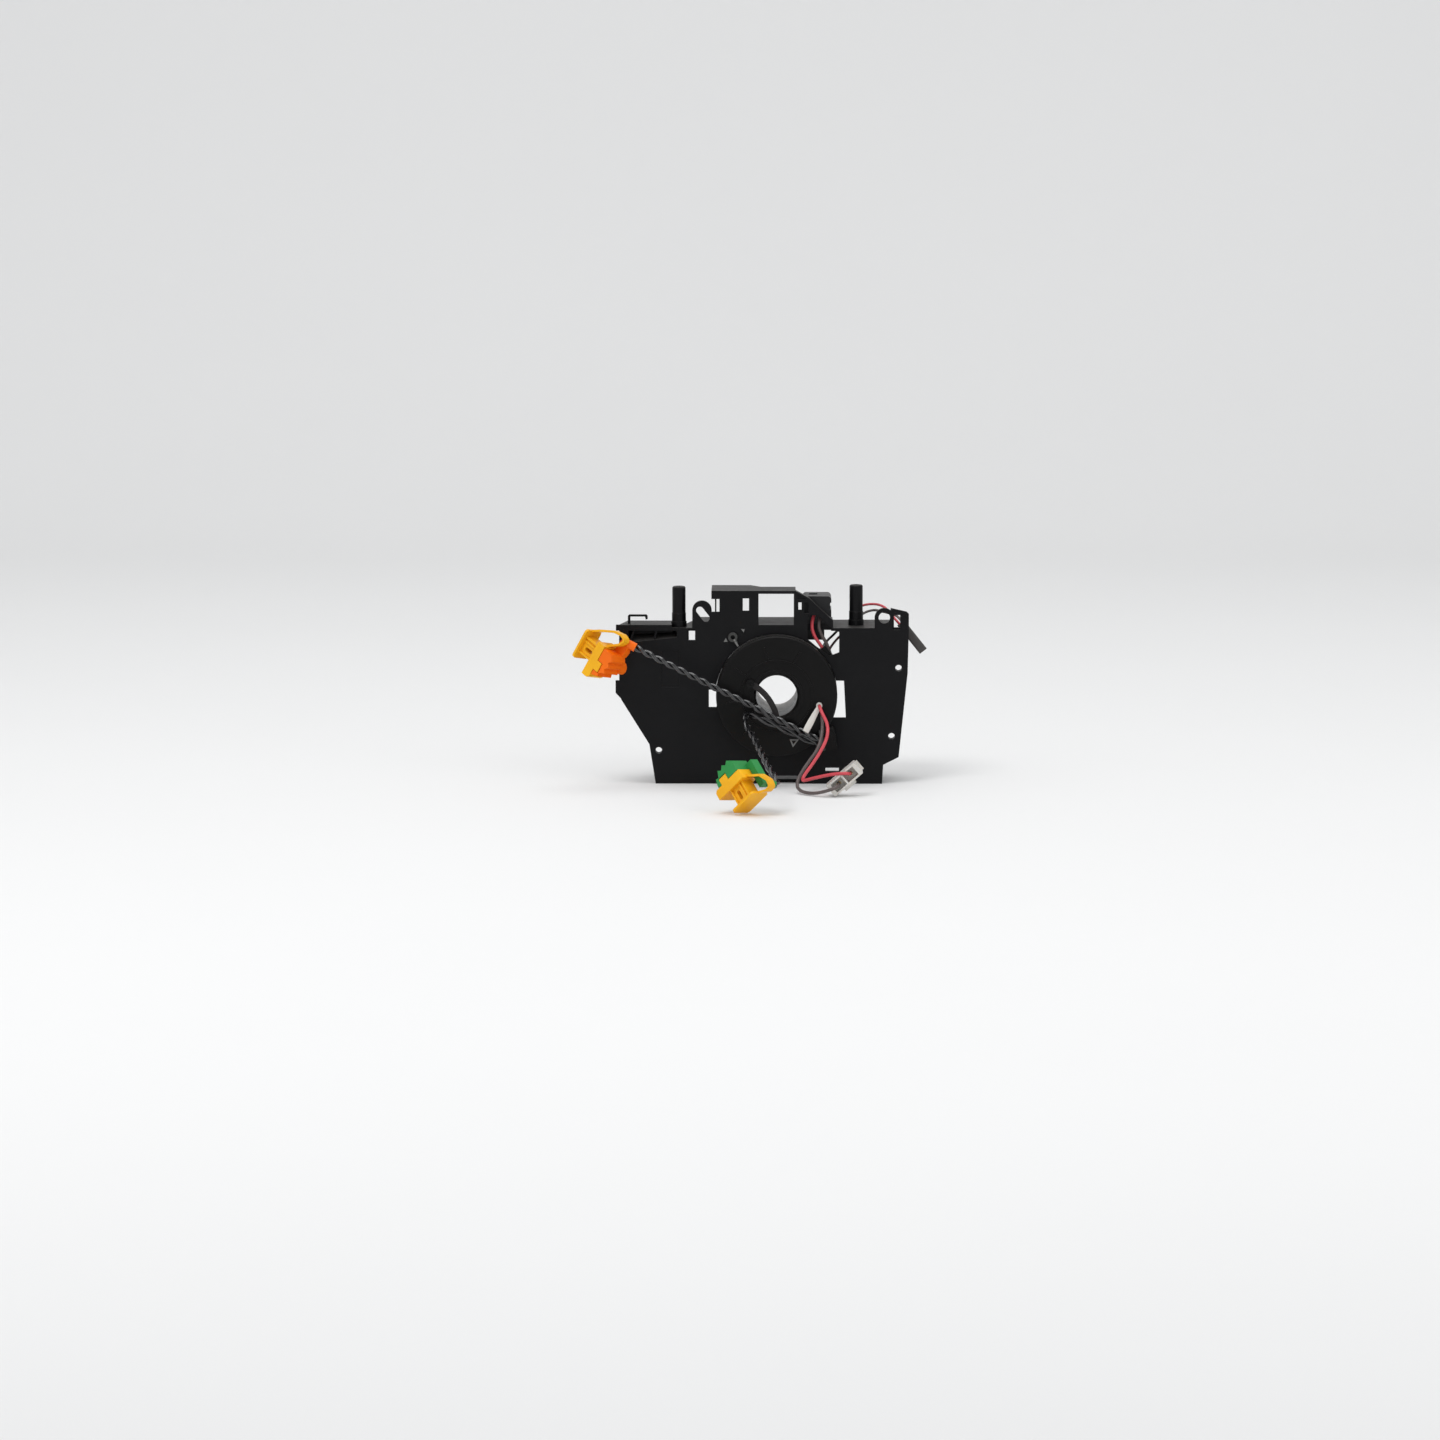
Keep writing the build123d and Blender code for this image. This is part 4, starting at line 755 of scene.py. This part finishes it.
class SPRING_OT_fittings(bpy.types.Operator):
    """Finish the connectors, strap, clip, grommet, screws and terminals"""
    bl_idname = "spring.fittings"
    bl_label = "Fittings"

    def execute(self, context):
        chosen = context.scene.spring_fittings
        zinc = plated_metal("screw_zinc", chosen.zinc, 0.35)
        nylon = clear_nylon("natural_nylon", chosen.nylon)
        brass = plated_metal("pin_brass", chosen.brass, 0.22)
        dress("drum_screws", zinc)
        dress("lock_screw", plated_metal("screw_black", SCREW_BLACK, 0.4))
        dress("lock_strap", moulded_plastic("strap_brown", STRAP_BROWN, roughness=0.4, grain=0.8,
                                            dust=0.2, edge=0.25, gloss=0.3))

        # nylon tab that holds the horn wires: a ridged tongue hung from a turned eye
        eye, tail = Vector(TAB_EYE), Vector(TAB_TAIL)
        face = (tail - eye).cross(Vector((0, 1, 0))).cross(tail - eye).normalized()
        face = face if face.y < 0 else -face
        form = bmesh.new()
        ridged_plate(form, tail, eye, face, [width * MM for width in TAB_WIDTHS], TAB_THICKNESS, TAB_RIDGE)
        lathed(form, Vector((eye.x, ROTOR_FRONT, eye.z)), Vector((0, -1, 0)),
               [(radius * MM, height * MM) for radius, height in EYE_PROFILE], EYE_SIDES)
        clip = new_piece("wire_tab", form, nylon, False)
        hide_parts("wire_clip")
        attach(clip, body_of_node("wire_clip"))
        dress("horn_connector", nylon)
        dress("horn_terminals", brass)
        dress("feed_pins", brass)
        dress("lead_grommet", rubber("grommet_rubber", GROMMET_BLACK))
        dress("feed_connector", moulded_plastic("feed_black", FEED_BLACK, roughness=0.38, grain=0.8,
                                                dust=0.25, edge=0.3, gloss=0.25))
        dress("feed_sleeve", woven_sleeve("sleeve_weave", SLEEVE_GREY))
        return {"FINISHED"}


class SPRING_OT_leads(bpy.types.Operator):
    """Wind the two twisted leads of the plugs"""
    bl_idname = "spring.leads"
    bl_label = "Twisted leads"

    def execute(self, context):
        chosen = context.scene.spring_leads
        skin = wire_skin("lead_skin", chosen.colour, 0.2, 0.8)
        for end, route, pitch in (("upper", UPPER_LEAD, chosen.upper_pitch),
                                  ("lower", LOWER_LEAD, chosen.lower_pitch)):
            points, length = even_points(route, 0.7 * MM)
            form = twisted_strands(carried_frames(points), chosen.strand_radius, pitch, 14)
            lead = new_piece(f"{end}_twisted_pair", form, skin)
            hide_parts(f"{end}_lead")
            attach(lead, body_of_node(f"{end}_lead"))
        return {"FINISHED"}


class SPRING_OT_wires(bpy.types.Operator):
    """Lay the six single wires"""
    bl_idname = "spring.wires"
    bl_label = "Wires"

    def execute(self, context):
        chosen = context.scene.spring_wires
        skins = {"red": wire_skin("red_skin", chosen.red), "dark": wire_skin("dark_skin", chosen.dark)}
        ends = ["horn_connector", "horn_terminals"]
        thick, thin = chosen.diameter, chosen.feed_diameter
        wires = [("horn_wire_red", "red", HORN_RED, thick, "connector", ends),
                 ("horn_wire_black", "dark", HORN_DARK, thick, "connector", ends),
                 ("short_wire_red", "red", SHORT_RED, thick, "object", []),
                 ("short_wire_black", "dark", SHORT_DARK, thick, "object", []),
                 ("feed_wire_red", "red", FEED_RED, thin, "connector", ["feed_sleeve"]),
                 ("feed_wire_black", "dark", FEED_DARK, thin, "connector", ["feed_sleeve"])]
        for node, shade, route, diameter, far_end, others in wires:
            length = even_points(route, 1 * MM)[1]
            curve = smooth_line(f"{node}_skin", route)
            curve.bevel_depth = diameter / 2
            curve.bevel_resolution = 5
            curve.use_fill_caps = True
            curve.materials.append(skins[shade])
            wire = bpy.data.objects.new(f"{node}_skin", curve)
            context.scene.collection.objects.link(wire)
            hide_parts(node)
            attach(wire, body_of_node(node))
        return {"FINISHED"}


class SPRING_OT_stage(bpy.types.Operator):
    """Set the floor, backdrop, lights and camera"""
    bl_idname = "spring.stage"
    bl_label = "Stage"

    def execute(self, context):
        chosen = context.scene.spring_stage
        scene = context.scene
        scene.view_settings.view_transform = "Standard"

        # floor that sweeps up into the backdrop
        form = bmesh.new()
        half, near, back, bend, top, steps = 7.0, -9.0, 2.6, 0.9, 5.0, 16
        profile = [(near, FLOOR_Z), (back - bend, FLOOR_Z)]
        for step in range(1, steps):
            turn = math.pi / 2 * step / steps
            profile.append((back - bend + bend * math.sin(turn), FLOOR_Z + bend * (1 - math.cos(turn))))
        profile += [(back, FLOOR_Z + bend), (back, top)]
        rows = [[form.verts.new((x, y, z)) for (y, z) in profile] for x in (-half, half)]
        for step in range(len(profile) - 1):
            form.faces.new((rows[0][step], rows[1][step], rows[1][step + 1], rows[0][step + 1]))
        mesh = bpy.data.meshes.new("sweep")
        form.to_mesh(mesh)
        form.free()
        mesh.polygons.foreach_set("use_smooth", [True] * len(mesh.polygons))
        mesh.materials.append(pale_sweep("sweep_pale", chosen.floor_colour))
        sweep = bpy.data.objects.new("sweep", mesh)
        scene.collection.objects.link(sweep)

        world = bpy.data.worlds.new("studio")
        world.use_nodes = True
        tree = world.node_tree
        tree.nodes["Background"].inputs["Color"].default_value = (0.97, 0.98, 1.0, 1.0)
        tree.nodes["Background"].inputs["Strength"].default_value = 0.68
        scene.world = world

        for name, place, size, power in (
                ("key", (-0.9, -1.5, 2.2), 1.2, 22.0), ("fill", (1.6, -1.6, 1.2), 1.6, 7.0),
                ("top", (0.1, 0.3, 2.4), 1.6, 15.0)):
            light = bpy.data.lights.new(name, "AREA")
            light.shape = "DISK"
            light.size = size
            light.energy = power
            lamp = bpy.data.objects.new(name, light)
            lamp.location = place
            lamp.rotation_euler = (Vector((0, 0, 0)) - Vector(place)).to_track_quat("-Z", "Y").to_euler()
            scene.collection.objects.link(lamp)

        eye = bpy.data.cameras.new("view")
        eye.lens = chosen.lens
        eye.sensor_width = 36.0
        eye.clip_end = 40.0
        camera = bpy.data.objects.new("view", eye)
        camera.location = (0.0, -4.581, 0.513)
        camera.rotation_euler = (math.radians(83.397), 0.0, math.radians(0.483))
        scene.collection.objects.link(camera)
        scene.camera = camera
        return {"FINISHED"}


class SPRING_PT_panel(bpy.types.Panel):
    """Settings and makers of the clock spring"""
    bl_idname = "SPRING_PT_panel"
    bl_label = "Clock Spring"
    bl_space_type = "VIEW_3D"
    bl_region_type = "UI"
    bl_category = "Clock Spring"

    def draw(self, context):
        for name, maker in zip(SETTINGS, OPERATORS):
            box = self.layout.box()
            chosen = getattr(context.scene, name)
            for prop in chosen.__annotations__:
                box.prop(chosen, prop)
            box.operator(maker.bl_idname)


SETTINGS = {
    "spring_mouldings": MouldingSettings,
    "spring_inner": InnerSettings,
    "spring_plugs": PlugSettings,
    "spring_fittings": FittingSettings,
    "spring_leads": LeadSettings,
    "spring_wires": WireSettings,
    "spring_stage": StageSettings,
}
OPERATORS = (SPRING_OT_mouldings, SPRING_OT_inner_parts, SPRING_OT_plugs, SPRING_OT_fittings,
             SPRING_OT_leads, SPRING_OT_wires, SPRING_OT_stage)


def register():
    for name, group in SETTINGS.items():
        bpy.utils.register_class(group)
        setattr(bpy.types.Scene, name, PointerProperty(type=group))
    for maker in OPERATORS:
        bpy.utils.register_class(maker)
    bpy.utils.register_class(SPRING_PT_panel)


def unregister():
    bpy.utils.unregister_class(SPRING_PT_panel)
    for maker in reversed(OPERATORS):
        bpy.utils.unregister_class(maker)
    for name, group in reversed(list(SETTINGS.items())):
        delattr(bpy.types.Scene, name)
        bpy.utils.unregister_class(group)


def main():
    """Register the add-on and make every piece."""
    register()
    bpy.ops.spring.stage()
    bpy.ops.spring.leads()
    bpy.ops.spring.wires()
    bpy.ops.spring.mouldings()
    bpy.ops.spring.inner_parts()
    bpy.ops.spring.plugs()
    bpy.ops.spring.fittings()


if __name__ == "__main__":
    main()
